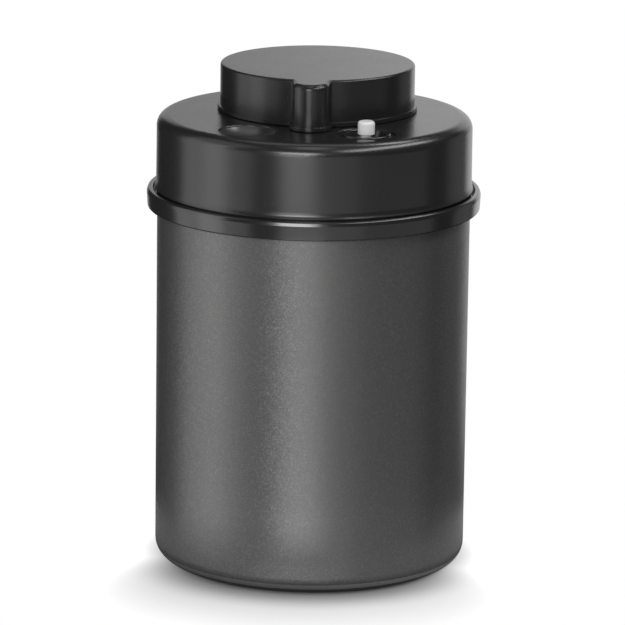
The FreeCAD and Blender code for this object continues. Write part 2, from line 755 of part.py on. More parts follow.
def make_pump_cylinder():
    body = new_body("pump_cylinder", *pump_spot)
    flange_z = base_z + size.barrel_flange_thick
    groove_in = barrel_out + size.barrel_seal_gap
    groove_out = groove_in + size.barrel_seal_wire + 2 * size.barrel_seal_fit
    groove_z = base_z + size.barrel_seal_wire + size.barrel_seal_fit
    valve_bore = size.valve_stem + size.valve_fit
    turned(body, "barrel", [
        (valve_bore, floor_under_z),
        (barrel_radius, floor_under_z),
        (barrel_radius, base_z),
        (groove_in, base_z),
        (groove_in, groove_z),
        (groove_out, groove_z),
        (groove_out, base_z),
        (barrel_flange_out, base_z),
        (barrel_flange_out, flange_z),
        (barrel_out, flange_z),
        (barrel_out, barrel_z),
        (barrel_radius, barrel_z),
        (barrel_radius, floor_z),
        (valve_bore, floor_z),
    ])
    screw = hole(body, "screw_way", barrel_screw_rho, 0, screw_hole, base_z, flange_z)
    around(body, "screw_ways", [screw], 3)
    intake = hole(body, "intake", size.intake_circle, 0, size.intake_radius, floor_under_z, floor_z)
    around(body, "intakes", [intake], 4)
    return body


def make_cylinder_seal():
    seal = doc.addObject("Part::Torus", "cylinder_seal")
    seal.Label = "cylinder_seal"
    centre = barrel_out + size.barrel_seal_gap + size.barrel_seal_fit + size.barrel_seal_wire / 2
    bind(seal, "Radius1", centre)
    bind(seal, "Radius2", size.barrel_seal_wire / 2)
    bind(seal, "Placement.Base.y", size.knob_back)
    bind(seal, "Placement.Base.z", base_z + size.barrel_seal_wire / 2)
    return seal


def make_inlet_valve():
    body = new_body("inlet_valve", *pump_spot)
    turned(body, "mushroom", [
        (0, floor_under_z - size.valve_tail),
        (size.valve_stem, floor_under_z - size.valve_tail),
        (size.valve_bulb, floor_under_z),
        (size.valve_stem, floor_under_z),
        (size.valve_stem, floor_z),
        (size.valve_radius, floor_z),
        (size.valve_radius, floor_z + size.valve_edge),
        (size.valve_bulb, floor_z + size.valve_crown),
        (0, floor_z + size.valve_crown),
    ])
    return body


def slot_points(low, high):
    """An upright slot with round ends, as (y, z) points."""
    return [
        (-slot_half, low),
        (slot_half, low, slot_half, 0),
        (slot_half, high),
        (-slot_half, high, slot_half, 0),
    ]


def make_guide_tube():
    body = new_body("guide_tube", *pump_spot)
    top = drum_top_z - size.guide_top_gap
    turned(body, "tube", [
        (guide_in, barrel_z),
        (guide_skirt_in, barrel_z),
        (guide_skirt_in, barrel_z - size.guide_skirt),
        (guide_skirt_out, barrel_z - size.guide_skirt),
        (guide_skirt_out, guide_z),
        (guide_out, guide_z),
        (guide_out, top),
        (guide_in, top),
    ])
    cross_cut(body, "upright_slots", slot_points(pin_z, pin_high_z), guide_out + size.overrun)
    vent = hole(body, "vent", vent_rho, 0, size.vent_radius, barrel_z, guide_z)
    around(body, "vents", [vent], 3)
    return body


def make_piston():
    body = new_body("piston", *pump_spot)
    radius = barrel_radius - size.piston_clear
    ring_z = piston_z + (size.piston_thick - size.ring_height) / 2
    ring_in = radius - size.ring_depth
    hollow = size.valve_radius + size.piston_recess_clear
    turned(body, "disc_and_stem", [
        (0, piston_z + size.piston_recess),
        (hollow, piston_z + size.piston_recess),
        (hollow, piston_z),
        (radius, piston_z),
        (radius, ring_z),
        (ring_in, ring_z),
        (ring_in, ring_z + size.ring_height),
        (radius, ring_z + size.ring_height),
        (radius, piston_top_z),
        (size.stem_radius, piston_top_z),
        (size.stem_radius, pin_z + size.stem_head),
        (0, pin_z + size.stem_head),
    ])
    pin_sketch = new_sketch(body, "pin_way_outline", "YZ_Plane")
    circle_at(pin_sketch, 0, pin_z, size.pin_radius + size.pin_fit)
    pin_way = pocketed(body, pin_sketch, "pin_way", 2 * (size.stem_radius + size.overrun))
    pin_way.Midplane = True
    outlet_circle = size.stem_radius + size.flap_width / 2
    outlet = hole(body, "outlet", outlet_circle, 0, size.outlet_radius, piston_z, piston_top_z)
    around(body, "outlets", [outlet], 4)
    return body


def make_piston_seal():
    ring_z = piston_z + (size.piston_thick - size.ring_height) / 2
    inner = barrel_radius - size.piston_clear - size.ring_depth + size.ring_fit
    outer = barrel_radius - size.ring_clear
    return square_ring("piston_seal", inner, outer, ring_z + size.ring_fit,
                       ring_z + size.ring_height - size.ring_fit, None, *pump_spot)


def make_follower_pin():
    pin = doc.addObject("Part::Cylinder", "follower_pin")
    pin.Label = "follower_pin"
    half = drum_out - size.pin_sink
    bind(pin, "Radius", size.pin_radius)
    bind(pin, "Height", 2 * half)
    pin.Placement.Rotation = FreeCAD.Rotation(FreeCAD.Vector(0, 1, 0), 90)
    bind(pin, "Placement.Base.x", -half)
    bind(pin, "Placement.Base.y", size.knob_back)
    bind(pin, "Placement.Base.z", pin_z)
    return pin


# knob

def helix_slot(start_angle):
    """The way of a round pin that climbs as the drum turns, cut right through the drum."""
    inner = drum_in.number - size.overrun.number
    outer = drum_out.number + size.overrun.number
    middle = (inner + outer) / 2
    turn = size.turn_range.number
    climb = size.stroke.number
    path = Part.makeHelix(climb * 360 / turn, climb, middle)
    slope = math.atan2(climb, middle * math.radians(turn))
    radial = FreeCAD.Vector(1, 0, 0)
    upward = FreeCAD.Vector(0, -math.sin(slope), math.cos(slope)) * slot_half.number
    corners = [
        radial * inner - upward,
        radial * outer - upward,
        radial * outer + upward,
        radial * inner + upward,
    ]
    section = Part.makePolygon(corners + corners[:1])
    way = Part.Wire(path.Edges).makePipeShell([section], True, True)
    return placed_in_drum(way, start_angle, 0)


def slot_end(angle, climb):
    """The round end of a slot, a little wider than the slot."""
    inner = drum_in.number - size.overrun.number
    length = drum_out.number + size.overrun.number - inner
    radial = FreeCAD.Vector(1, 0, 0)
    radius = (slot_half + size.slot_relief).number
    end = Part.makeCylinder(radius, length, radial * inner, radial)
    return placed_in_drum(end, angle, climb)


def placed_in_drum(shape, angle, climb):
    shape.rotate(FreeCAD.Vector(), FreeCAD.Vector(0, 0, 1), angle)
    shape.translate(FreeCAD.Vector(0, 0, pin_z.number + climb))
    return shape


def cut_from(base, name, shapes):
    tool = doc.addObject("Part::Feature", f"{name}_tool")
    tool.Shape = Part.makeCompound(shapes)
    bind(tool, "Placement.Base.y", size.knob_back)
    cut = doc.addObject("Part::Cut", name)
    cut.Base = base
    cut.Tool = tool
    return cut


def key_outline(sketch, width, inner, outer):
    outline(sketch, [
        (inner, -(width / 2)),
        (outer, -(width / 2)),
        (outer, width / 2),
        (inner, width / 2),
    ])


def make_cam_drum():
    blank = new_body("drum_blank", *pump_spot)
    groove_top = cover_under_z - size.clip_gap + size.clip_fit
    groove_low = groove_top - size.clip_thick - 2 * size.clip_fit
    groove_in = drum_out - size.clip_depth
    turned(blank, "drum", [
        (drum_in, drum_z),
        (drum_out, drum_z),
        (drum_out, groove_low),
        (groove_in, groove_low),
        (groove_in, groove_top),
        (drum_out, groove_top),
        (drum_out, drum_collar_z),
        (drum_collar_out, drum_collar_z),
        (drum_collar_out, drum_collar_top_z),
        (drum_out, drum_collar_top_z),
        (drum_out, drum_flange_z),
        (drum_flange_out, drum_flange_z),
        (drum_flange_out, drum_top_z),
        (drum_in, drum_top_z),
    ])
    notch_sketch = new_sketch(blank, "notch_outline", "XY_Plane", z=drum_top_z)
    key_outline(notch_sketch, size.key_width + 2 * size.key_fit,
                drum_flange_out - size.key_depth - size.key_fit, drum_flange_out + size.overrun)
    notch = pocketed(blank, notch_sketch, "notch", size.drum_flange_thick)
    around(blank, "notches", [notch], 3)
    turn = size.turn_range.number
    sides = (0, math.degrees(math.pi))
    slots = cut_from(blank, "helix_slots", [helix_slot(side) for side in sides])
    ends = [slot_end(side, 0) for side in sides]
    ends += [slot_end(side + turn, size.stroke.number) for side in sides]
    drum = cut_from(slots, "cam_drum", ends)
    drum.Label = "cam_drum"
    return drum


def knob_outline(sketch, radius, nose):
    """A circle about the axis with a round nose towards the sketch's -Y."""
    join = math.sqrt(radius.number ** 2 - nose.number ** 2)
    turn = math.atan2(-join, nose.number)
    up = FreeCAD.Vector(0, 0, 1)
    tip = FreeCAD.Vector(0, -nose_y.number, 0)
    round_arc = Part.Circle(FreeCAD.Vector(), up, radius.number)
    rim = sketch.addGeometry(Part.ArcOfCircle(round_arc, turn, 3 * math.pi - turn))
    nose_arc = Part.Circle(tip, up, nose.number)
    front = sketch.addGeometry(Part.ArcOfCircle(nose_arc, math.pi, 2 * math.pi))
    sides = []
    for across in (-nose.number, nose.number):
        back = FreeCAD.Vector(across, -join, 0)
        fore = FreeCAD.Vector(across, -nose_y.number, 0)
        sides.append(sketch.addGeometry(Part.LineSegment(back, fore)))
    left, right = sides
    sketch.addConstraint([
        Sketcher.Constraint("Coincident", rim, 3, -1, 1),
        Sketcher.Constraint("PointOnObject", front, 3, -2),
        Sketcher.Constraint("Coincident", rim, 2, left, 1),
        Sketcher.Constraint("Coincident", rim, 1, right, 1),
        Sketcher.Constraint("Tangent", front, 1, left, 2),
        Sketcher.Constraint("Tangent", front, 2, right, 2),
        Sketcher.Constraint("Vertical", left),
        Sketcher.Constraint("Vertical", right),
    ])
    hold(sketch, "Radius", radius, rim)
    hold(sketch, "Radius", nose, front)
    hold(sketch, "DistanceY", nose_y, front, 3, -1, 1)


def make_knob_shell():
    body = new_body("knob_shell", *pump_spot)
    outer = new_sketch(body, "wall_outline", "XY_Plane", z=knob_z, turn=size.nose_turn)
    knob_outline(outer, knob_radius, size.nose_radius)
    wall = padded(body, outer, "wall", knob_top_z - knob_z)
    doc.recompute()
    top_number = knob_top_z.number
    fineness = wall.Shape.BoundBox.DiagonalLength * 1e-6
    top_edges = []
    for number, edge in enumerate(wall.Shape.Edges, start=1):
        if all(abs(vertex.Z - top_number) < fineness for vertex in edge.Vertexes):
            top_edges.append(f"Edge{number}")
    edge_round = body.newObject("PartDesign::Fillet", "upper_edge")
    edge_round.Base = (wall, top_edges)
    bind(edge_round, "Radius", size.knob_round)
    flare_sketch = new_sketch(body, "flare_outline", "XY_Plane", z=knob_z + size.flare_height,
                              turn=size.nose_turn)
    knob_outline(flare_sketch, knob_radius, size.nose_radius)
    flare = padded(body, flare_sketch, "flare", size.flare_height)
    flare.Reversed = True
    bind(flare, "TaperAngle", arctangent(size.flare_out / size.flare_height))
    inner = new_sketch(body, "inside_outline", "XY_Plane", z=knob_in_z, turn=size.nose_turn)
    knob_outline(inner, knob_in, size.nose_radius - size.knob_wall)
    pocketed(body, inner, "inside", knob_in_z - knob_z)
    snap_in = drum_flange_out + size.snap_fit
    land_in = drum_flange_out - size.knob_land_width
    bead_z = drum_flange_z - size.snap_fit
    turned(body, "snap_ring", [
        (land_in, drum_top_z),
        (snap_in, drum_top_z),
        (snap_in, bead_z),
        (snap_in - size.snap_bead, bead_z - size.snap_bead),
        (snap_in, bead_z - 2 * size.snap_bead),
        (snap_in, drum_top_z - size.snap_depth),
        (snap_in + size.snap_wall, drum_top_z - size.snap_depth),
        (snap_in + size.snap_wall, knob_in_z),
        (land_in, knob_in_z),
    ])
    key_sketch = new_sketch(body, "key_outline", "XY_Plane", z=drum_flange_z)
    key_outline(key_sketch, size.key_width, drum_flange_out - size.key_depth,
                snap_in + size.snap_wall / 2)
    key = padded(body, key_sketch, "key", knob_in_z - drum_flange_z)
    around(body, "keys", [key], 3)
    return body


# release valve

def wound_spring(label, x, y, low, high, radius, wire, turns):
    """A coil of round wire, made of biarcs of a quarter turn."""
    climb = (high.number - low.number - wire.number) / turns.number
    quarters = round(turns.number * 4)
    run = 2 * math.pi * radius.number

    def point(quarter):
        angle = quarter * math.pi / 2
        height = low.number + wire.number / 2 + climb * quarter / 4
        return FreeCAD.Vector(radius.number * math.cos(angle), radius.number * math.sin(angle), height)

    def heading(quarter):
        angle = quarter * math.pi / 2
        ahead = FreeCAD.Vector(-math.sin(angle) * run, math.cos(angle) * run, climb)
        return ahead.normalize()

    edges = []
    for quarter in range(quarters):
        start, stop = point(quarter), point(quarter + 1)
        first, last = heading(quarter), heading(quarter + 1)
        chord = stop - start
        along = chord.dot(first + last)
        bend = 2 * (1 - first.dot(last))
        reach = (math.sqrt(along ** 2 + bend * chord.dot(chord)) - along) / bend
        near, far = start + first * reach, stop - last * reach
        joint = (near + far) / 2
        for begin, corner, end in ((start, near, joint), (joint, far, stop)):
            middle = (begin + end) / 2
            half = (end - begin).Length / 2
            lean = math.atan2((corner - middle).Length, half)
            crown = middle + (corner - middle).normalize() * half * math.tan(lean / 2)
            edges.append(Part.Arc(begin, crown, end).toShape())
    path = Part.Wire(edges)
    section = Part.Wire(Part.Circle(point(0), heading(0), wire.number / 2).toShape())
    coil = doc.addObject("Part::Feature", label)
    coil.Label = label
    coil.Shape = path.makePipeShell([section], True, False)
    bind(coil, "Placement.Base.x", x)
    bind(coil, "Placement.Base.y", y)
    print(label, "gap between turns", round(climb - wire.number, 3))
    return coil


seal_top_z = lid_foot_z - size.release_seal_gap
rod_clip_z = seal_top_z - size.release_seal_thick
rod_clip_in = size.rod_radius - size.rod_clip_depth
button_radius = place_radius - size.button_clear
button_hollow_z = lid_z - size.button_hollow
button_web_z = button_hollow_z - size.button_web


def make_release_button():
    body = new_body("release_button", -place_x, place_y)
    rim = button_radius - size.button_rim
    hollow = size.button_hollow
    ball = (rim * rim + hollow * hollow) / (2 * hollow)
    clip_low = rod_clip_z - size.rod_clip_thick
    skirt_in = button_radius - size.button_wall
    button = turned(body, "button", [
        (0, clip_low - size.rod_tail),
        (size.rod_radius, clip_low - size.rod_tail),
        (size.rod_radius, clip_low),
        (rod_clip_in, clip_low),
        (rod_clip_in, rod_clip_z),
        (size.rod_radius, rod_clip_z),
        (size.rod_radius, button_web_z),
        (skirt_in, button_web_z),
        (skirt_in, lid_z - size.button_skirt),
        (button_radius, lid_z - size.button_skirt),
        (button_radius, lid_z),
        (rim, lid_z),
        (0, button_hollow_z, ball, -1),
    ])
    rounded(body, "rim_edge", button, [(button_radius, lid_z)], size.button_edge_round)
    return body


# vacuum indicator

cup_z = lid_z - size.cup_height
cup_floor_z = lid_z - size.cup_floor_drop
cup_radius = place_radius - size.cup_fit
peg_bore = size.peg_radius + size.peg_clear
rod_flange_z = cup_z - size.rod_flange_gap - size.rod_flange_thick
rod_flange_out = size.indicator_coil + size.indicator_wire
clamp_z = base_z + size.membrane_thick
membrane_hub_z = clamp_z + size.membrane_hub_rise


def make_indicator_cup():
    body = new_body("indicator_cup", place_x, place_y)
    ring_out = cup_radius - size.cup_ledge_width
    ring_in = ring_out - size.cup_ring_width
    ring_z = lid_z + size.cup_ring_rise
    cup = turned(body, "cup", [
        (peg_bore, cup_z),
        (cup_radius, cup_z),
        (cup_radius, lid_z - size.cup_ledge),
        (ring_out, lid_z - size.cup_ledge),
        (ring_out, ring_z),
        (ring_in, ring_z),
        (ring_in - size.cup_slope, cup_floor_z),
        (peg_bore, cup_floor_z),
    ])
    rounded(body, "ring_edges", cup, [(ring_out, ring_z), (ring_in, ring_z)], size.cup_ring_round)
    return body


def make_indicator_pin():
    body = new_body("indicator_pin", place_x, place_y)
    peg_z = lid_z - size.peg_sink
    peg_top = lid_z + size.peg_rise
    peg = turned(body, "peg", [
        (0, membrane_hub_z + size.rod_end_gap),
        (size.rod_radius, membrane_hub_z + size.rod_end_gap),
        (size.rod_radius, rod_flange_z),
        (rod_flange_out, rod_flange_z),
        (rod_flange_out, rod_flange_z + size.rod_flange_thick),
        (size.rod_radius, rod_flange_z + size.rod_flange_thick),
        (size.rod_radius, peg_z),
        (size.peg_radius, peg_z),
        (size.peg_radius, peg_top),
        (0, peg_top),
    ])
    rounded(body, "peg_edge", peg, [(size.peg_radius, peg_top)], size.peg_round)
    return body


def make_indicator_diaphragm():
    body = new_body("indicator_diaphragm", place_x, place_y)
    turned(body, "membrane", [
        (0, base_z),
        (membrane_radius, base_z),
        (membrane_radius, clamp_z),
        (size.membrane_hub, clamp_z),
        (size.membrane_hub, membrane_hub_z),
        (0, membrane_hub_z),
    ])
    return body


release_coil = size.rod_radius + size.release_port + size.spring_post_wall
release_coil = release_coil + size.spring_fit + size.release_wire / 2
filter_radius = size.housing_radius - size.housing_wall - size.filter_fit
drum_clip_top = cover_under_z - size.clip_gap
drum_clip_in = drum_out - size.clip_depth + size.clip_fit
clamp_top_z = clamp_z + size.clamp_thick

sub_parts = [
    make_canister_shell(),
    make_collar_ring(),
    square_ring("rim_seal", body_in, size.body_radius, rim_z, rim_seal_z),
    make_lid_cover(),
    make_lid_base(),
    make_lid_gasket(),
    make_screws("base_screws", base_screw_rho, lid_foot_z, size.screw_length, 1, 4),
    make_pump_cylinder(),
    make_cylinder_seal(),
    make_screws("cylinder_screws", barrel_screw_rho, base_z + size.barrel_flange_thick,
                size.short_screw_length, -1, 3, *pump_spot),
    make_inlet_valve(),
    square_ring("filter_disc", 0, filter_radius, lid_foot_z - size.filter_thick, lid_foot_z,
                None, *pump_spot),
    make_filter_cap(),
    make_guide_tube(),
    square_ring("thrust_washer", drum_bore, drum_collar_out, lid_z, washer_z, None, *pump_spot),
    make_piston(),
    make_piston_seal(),
    square_ring("outlet_flap", size.stem_radius + size.flap_fit, size.stem_radius + size.flap_width,
                piston_top_z, piston_top_z + size.flap_thick, None, *pump_spot),
    make_follower_pin(),
    make_cam_drum(),
    square_ring("drum_circlip", drum_clip_in, drum_clip_in + size.clip_width,
                drum_clip_top - size.clip_thick, drum_clip_top, size.clip_sweep, *pump_spot),
    make_knob_shell(),
    make_release_button(),
    square_ring("release_seal", size.rod_radius + size.release_seal_fit,
                size.rod_radius + size.release_seal_out, rod_clip_z, seal_top_z,
                x=-place_x, y=place_y),
    square_ring("release_clip", rod_clip_in + size.clip_fit, rod_clip_in + size.rod_clip_width,
                rod_clip_z - size.rod_clip_thick + size.clip_fit, rod_clip_z - size.clip_fit,
                size.clip_sweep, -place_x, place_y),
    wound_spring("release_spring", -place_x, place_y, base_z + size.spring_fit,
                 button_web_z - size.spring_fit, release_coil, size.release_wire, size.release_turns),
    make_indicator_cup(),
    make_indicator_pin(),
    wound_spring("indicator_spring", place_x, place_y, clamp_top_z + size.spring_fit,
                 rod_flange_z - size.spring_fit, size.indicator_coil, size.indicator_wire,
                 size.indicator_turns),
    make_indicator_diaphragm(),
    square_ring("diaphragm_ring", size.clamp_bore, membrane_radius, clamp_z, clamp_top_z,
                x=place_x, y=place_y),
]
doc.recompute()

for thing in doc.Objects:
    faults = [state for state in thing.State if state in ("Invalid", "Error")]
    if faults:
        raise RuntimeError(f"{thing.Label}: {faults}")
for part in sub_parts:
    if part.Shape.isNull() or not part.Shape.isValid():
        raise RuntimeError(f"{part.Label}: shape is missing or not valid")

os.makedirs("parts", exist_ok=True)
for part in sub_parts:
    part.Shape.exportStep(f"parts/{part.Label}.step")
    box = part.Shape.BoundBox
    print(f"{part.Label}: {len(part.Shape.Solids)} solids, {part.Shape.Volume:.1f} mm3, "
          f"z {box.ZMin:.2f} to {box.ZMax:.2f}")
print("height", round(knob_top_z.number, 3), "piston travel per radian of knob",
      round(size.stroke.number / math.radians(size.turn_range.number), 4))
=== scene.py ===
import bmesh
import bpy
import numpy as np
from math import cos, pi, radians, sin
from mathutils import Matrix, Vector


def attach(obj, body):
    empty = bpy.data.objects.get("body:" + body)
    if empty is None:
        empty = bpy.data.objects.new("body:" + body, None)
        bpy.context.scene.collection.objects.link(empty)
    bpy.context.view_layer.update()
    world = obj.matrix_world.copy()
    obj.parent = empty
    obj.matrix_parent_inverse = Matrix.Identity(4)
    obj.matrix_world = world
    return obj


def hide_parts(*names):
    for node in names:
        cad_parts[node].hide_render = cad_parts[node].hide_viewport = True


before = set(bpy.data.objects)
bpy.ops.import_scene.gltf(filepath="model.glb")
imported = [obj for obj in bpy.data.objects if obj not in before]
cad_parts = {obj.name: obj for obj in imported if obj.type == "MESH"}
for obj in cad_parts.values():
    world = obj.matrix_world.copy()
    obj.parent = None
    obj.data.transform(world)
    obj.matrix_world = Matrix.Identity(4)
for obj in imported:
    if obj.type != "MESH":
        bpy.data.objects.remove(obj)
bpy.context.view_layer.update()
mm = 0.001
scene = bpy.context.scene
scene.view_settings.view_transform = "Standard"
print("frame loaded:", len(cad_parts), "nodes")

# camera: a long lens a little to the right of the front, looking down on the lid
cameraSpot = {
    "distance": 1.73189,
    "turn": 4.45,          # degrees round the canister, to the right
    "height": 0.51645,
    "down": 13.6487,       # degrees below the horizon
    "roll": 0.01376,       # radians
    "lens": 266.1235,
    "sensor": 36.0,
    "shift": 0.000577,
    "near": 0.1,           # nothing nearer or farther is drawn
    "far": 20.0,
}


def setCamera(spot):
    turn, down = radians(spot["turn"]), radians(spot["down"])
    place = Vector((spot["distance"] * sin(turn), -spot["distance"] * cos(turn), spot["height"]))
    look = Matrix.Rotation(turn, 4, "Z") @ Matrix.Rotation(pi / 2 - down, 4, "X")
    lens = bpy.data.cameras.new("photoLens")
    lens.lens = spot["lens"]
    lens.sensor_width = spot["sensor"]
    lens.shift_x = spot["shift"]
    lens.clip_start = spot["near"]
    lens.clip_end = spot["far"]
    camera = bpy.data.objects.new("photoCamera", lens)
    camera.matrix_world = Matrix.Translation(place) @ look @ Matrix.Rotation(spot["roll"], 4, "Z")
    scene.collection.objects.link(camera)
    scene.camera = camera


setCamera(cameraSpot)
print("camera set")


# shader maths: a wire is a socket of one finish, and an operator on it adds the Math node
class Wire:
    def __init__(self, finish, socket):
        self.finish = finish
        self.socket = socket

    def maths(self, operation, *values):
        sockets = dict(enumerate(values))
        return self.finish.node("ShaderNodeMath", {"operation": operation}, sockets)

    def __add__(self, other):
        return self.maths("ADD", self, other)

    def __sub__(self, other):
        return self.maths("SUBTRACT", self, other)

    def __rsub__(self, other):
        return self.maths("SUBTRACT", other, self)

    def __mul__(self, other):
        return self.maths("MULTIPLY", self, other)

    def __truediv__(self, other):
        return self.maths("DIVIDE", self, other)

    def __pow__(self, other):
        return self.maths("POWER", self, other)

    __radd__ = __add__
    __rmul__ = __mul__


class Finish:
    def __init__(self, name, tree=None):
        if tree is None:
            self.material = bpy.data.materials.new(name)
            self.material.use_nodes = True
            tree = self.material.node_tree
        self.tree = tree
        tree.nodes.clear()

    # any node: its type, its settings, then the values or links of its sockets; gives one output
    def node(self, kind, settings=None, sockets=None, take=0):
        made = self.tree.nodes.new(kind)
        for name, value in (settings or {}).items():
            setattr(made, name, value)
        for key, value in (sockets or {}).items():
            if isinstance(value, Wire):
                self.tree.links.new(value.socket, made.inputs[key])
            else:
                made.inputs[key].default_value = value
        return Wire(self, made.outputs[take]) if made.outputs else None

    def where(self):
        return self.node("ShaderNodeTexCoord", take="Object")

    def parts(self, vector):
        split = self.node("ShaderNodeSeparateXYZ", None, {0: vector}).socket.node
        return [Wire(self, output) for output in split.outputs]

    def vectorMaths(self, operation, sockets):
        return self.node("ShaderNodeVectorMath", {"operation": operation}, sockets)

    def stretched(self, vector, scale):
        return self.vectorMaths("MULTIPLY", {0: vector, 1: scale})

    def noise(self, vector, size, detail, rough=0.5):
        sockets = {"Vector": vector, "Scale": 1 / size, "Detail": detail, "Roughness": rough}
        return self.node("ShaderNodeTexNoise", None, sockets)

    # sockets 6 and 7 and output 2 are the Mix node's colours
    def blendColours(self, factor, first, second):
        settings = {"data_type": "RGBA", "blend_type": "MIX"}
        return self.node("ShaderNodeMix", settings, {0: factor, 6: first, 7: second}, take=2)

    def step(self, value, low, high, ease="SMOOTHSTEP"):
        settings = {"interpolation_type": ease}
        sockets = {"Value": value, "From Min": low, "From Max": high, "To Min": 0.0, "To Max": 1.0}
        return self.node("ShaderNodeMapRange", settings, sockets)

    def bump(self, height, depth, strength, normal=None):
        sockets = {"Height": height, "Distance": depth, "Strength": strength}
        if normal is not None:
            sockets["Normal"] = normal
        return self.node("ShaderNodeBump", None, sockets)

    def lightPath(self, *kinds):
        return [self.node("ShaderNodeLightPath", take=kind) for kind in kinds]

    def glow(self, strength, kind="ShaderNodeEmission"):
        return self.node(kind, None, {"Color": grey(1.0), "Strength": strength})

    def mixShaders(self, factor, first, second):
        return self.node("ShaderNodeMixShader", None, {0: factor, 1: first, 2: second})

    def show(self, surface, kind="ShaderNodeOutputMaterial"):
        self.node(kind, None, {"Surface": surface})

    def shine(self, sockets):
        self.show(self.node("ShaderNodeBsdfPrincipled", None, sockets))
        return self.material


def grey(value, warm=0.0):
    return (value * (1 + warm), value, value * (1 - warm), 1.0)


noiseMiddle = 0.5        # what a noise or a random cell gives on average

# enamel: dark metallic paint with fine flakes outside, bare brushed steel inside the cup
enamelLook = {
    "paint": 0.143,
    "flakeDark": 0.128,
    "flakeBright": 0.19,
    "warm": 0.004,
    "brightWarm": 0.01,
    "flakeSize": 0.30 * mm,
    "flakeTilt": 0.095,
    "sparkFrom": 0.55,          # the share of the flakes that never sparkle
    "sparkPower": 2,
    "sparkLeast": 0.6,
    "sparkCloud": 0.8,          # what a cloud adds to their sparkle
    "cloudSize": 9 * mm,
    "cloudDetail": 3.0,
    "peelSize": 2.2 * mm,
    "peelDetail": 1.0,
    "peelDepth": 0.006 * mm,
    "peelStrength": 0.5,
    "paintRough": 0.38,
    "roughSpread": 0.05,
    "paintMetal": 0.75,
    "ior": 1.5,
    "steel": 0.56,
    "steelShares": (0.82, 1.12),    # of its tone, between the strokes and on them
    "steelRough": 0.30,
    "steelSpread": 0.16,
    "steelRadius": 59.6 * mm,   # paint outside this radius
    "floorTop": 2.3 * mm,       # and below this height
    "paintEdge": 0.1 * mm,
    "brushSize": 0.25 * mm,
    "brushStretch": (0.02, 0.02, 1.0),
    "brushDetail": 3.0,
    "brushBlur": 0.6,
}


def makeEnamel(look):
    f = Finish("anthraciteEnamel")
    place = f.where()
    x, y, z = f.parts(place)
    rho = (x * x + y * y) ** 0.5
    radius, height, edge = look["steelRadius"], look["floorTop"], look["paintEdge"]
    inside = (1 - f.step(rho, radius - edge, radius)) * f.step(z, height - edge, height)
    cells = {"Vector": place, "Scale": 1 / look["flakeSize"], "Randomness": 1.0}
    flake = f.node("ShaderNodeTexVoronoi", {"feature": "F1"}, cells, take="Color")
    lot, tint, lean = f.parts(flake)
    cloud = f.noise(place, look["cloudSize"], look["cloudDetail"])
    spark = f.step(lot, look["sparkFrom"], 1.0) ** look["sparkPower"] \
        * (look["sparkLeast"] + look["sparkCloud"] * cloud)
    paint = f.blendColours(tint, *[grey(look[tone], look["warm"]) for tone in ("flakeDark", "paint")])
    paint = f.blendColours(spark, paint, grey(look["flakeBright"], look["brightWarm"]))
    strokes = f.stretched(place, look["brushStretch"])
    brushed = f.noise(strokes, look["brushSize"], look["brushDetail"], look["brushBlur"])
    metal = f.blendColours(brushed, *[grey(look["steel"] * share) for share in look["steelShares"]])
    colour = f.blendColours(inside, paint, metal)
    rough = look["paintRough"] + look["roughSpread"] * (lean - noiseMiddle) \
        + look["roughSpread"] * (cloud - noiseMiddle)
    steelRough = look["steelRough"] + look["steelSpread"] * (brushed - noiseMiddle)
    rough = rough * (1 - inside) + inside * steelRough
    metallic = look["paintMetal"] * (1 - inside) + inside
    away = f.vectorMaths("SUBTRACT", {0: flake, 1: (noiseMiddle,) * 3})
    tilt = f.vectorMaths("SCALE", {0: away, "Scale": look["flakeTilt"] * (1 - inside)})
    facing = f.node("ShaderNodeNewGeometry", take="Normal")
    leaning = f.vectorMaths("NORMALIZE", {0: f.vectorMaths("ADD", {0: facing, 1: tilt})})
    peel = f.noise(place, look["peelSize"], look["peelDetail"])
    normal = f.bump(peel, look["peelDepth"], look["peelStrength"], leaning)
    return f.shine({"Base Color": colour, "Metallic": metallic, "Roughness": rough, "Normal": normal,
                    "IOR": look["ior"]})


# black plastic: satin mouldings with a fine grain and faint rub marks
blackLook = {
    "colour": 0.0135,
    "rubbed": 0.020,
    "warm": 0.004,
    "rubWarm": 0.01,
    "rough": 0.26,
    "roughSpread": 0.03,
    "rubRough": 0.03,
    "ior": 1.62,
    "knobPlastic": {"ior": 1.5},                     # the knob mirrors less
    "collarPlastic": {"rough": 0.21, "ior": 1.70},   # the collar is smoother and mirrors more
    "buttonPlastic": {"rough": 0.30, "ior": 2.1},    # the button mirrors most, a little blurred
    "grainSize": 0.55 * mm,
    "grainDetail": 2.0,
    "grainDepth": 0.010 * mm,
    "grainStrength": 0.4,
    "patchSize": 14 * mm,
    "patchDetail": 3.0,
    "patchShare": 0.35,
    "rubSize": 2.5 * mm,
    "rubStretch": (1.0, 6.0, 0.7),
    "rubDetail": 4.0,
    "rubBlur": 0.6,
    "rubStep": (0.58, 0.78),
    "rubShare": 0.5,
}


def makeBlack(look, name="blackPlastic"):
    look = {**look, **look.get(name, {})}
    f = Finish(name)
    place = f.where()
    grain = f.noise(place, look["grainSize"], look["grainDetail"])
    patch = f.noise(place, look["patchSize"], look["patchDetail"])
    along = f.stretched(place, look["rubStretch"])
    rub = f.step(f.noise(along, look["rubSize"], look["rubDetail"], look["rubBlur"]), *look["rubStep"])
    worn = look["patchShare"] * patch + look["rubShare"] * rub
    colour = f.blendColours(worn, grey(look["colour"], look["warm"]), grey(look["rubbed"], look["rubWarm"]))
    rough = look["rough"] + look["roughSpread"] * (patch - noiseMiddle) + look["rubRough"] * rub
    normal = f.bump(grain, look["grainDepth"], look["grainStrength"])
    return f.shine({"Base Color": colour, "Roughness": rough, "Normal": normal, "IOR": look["ior"]})


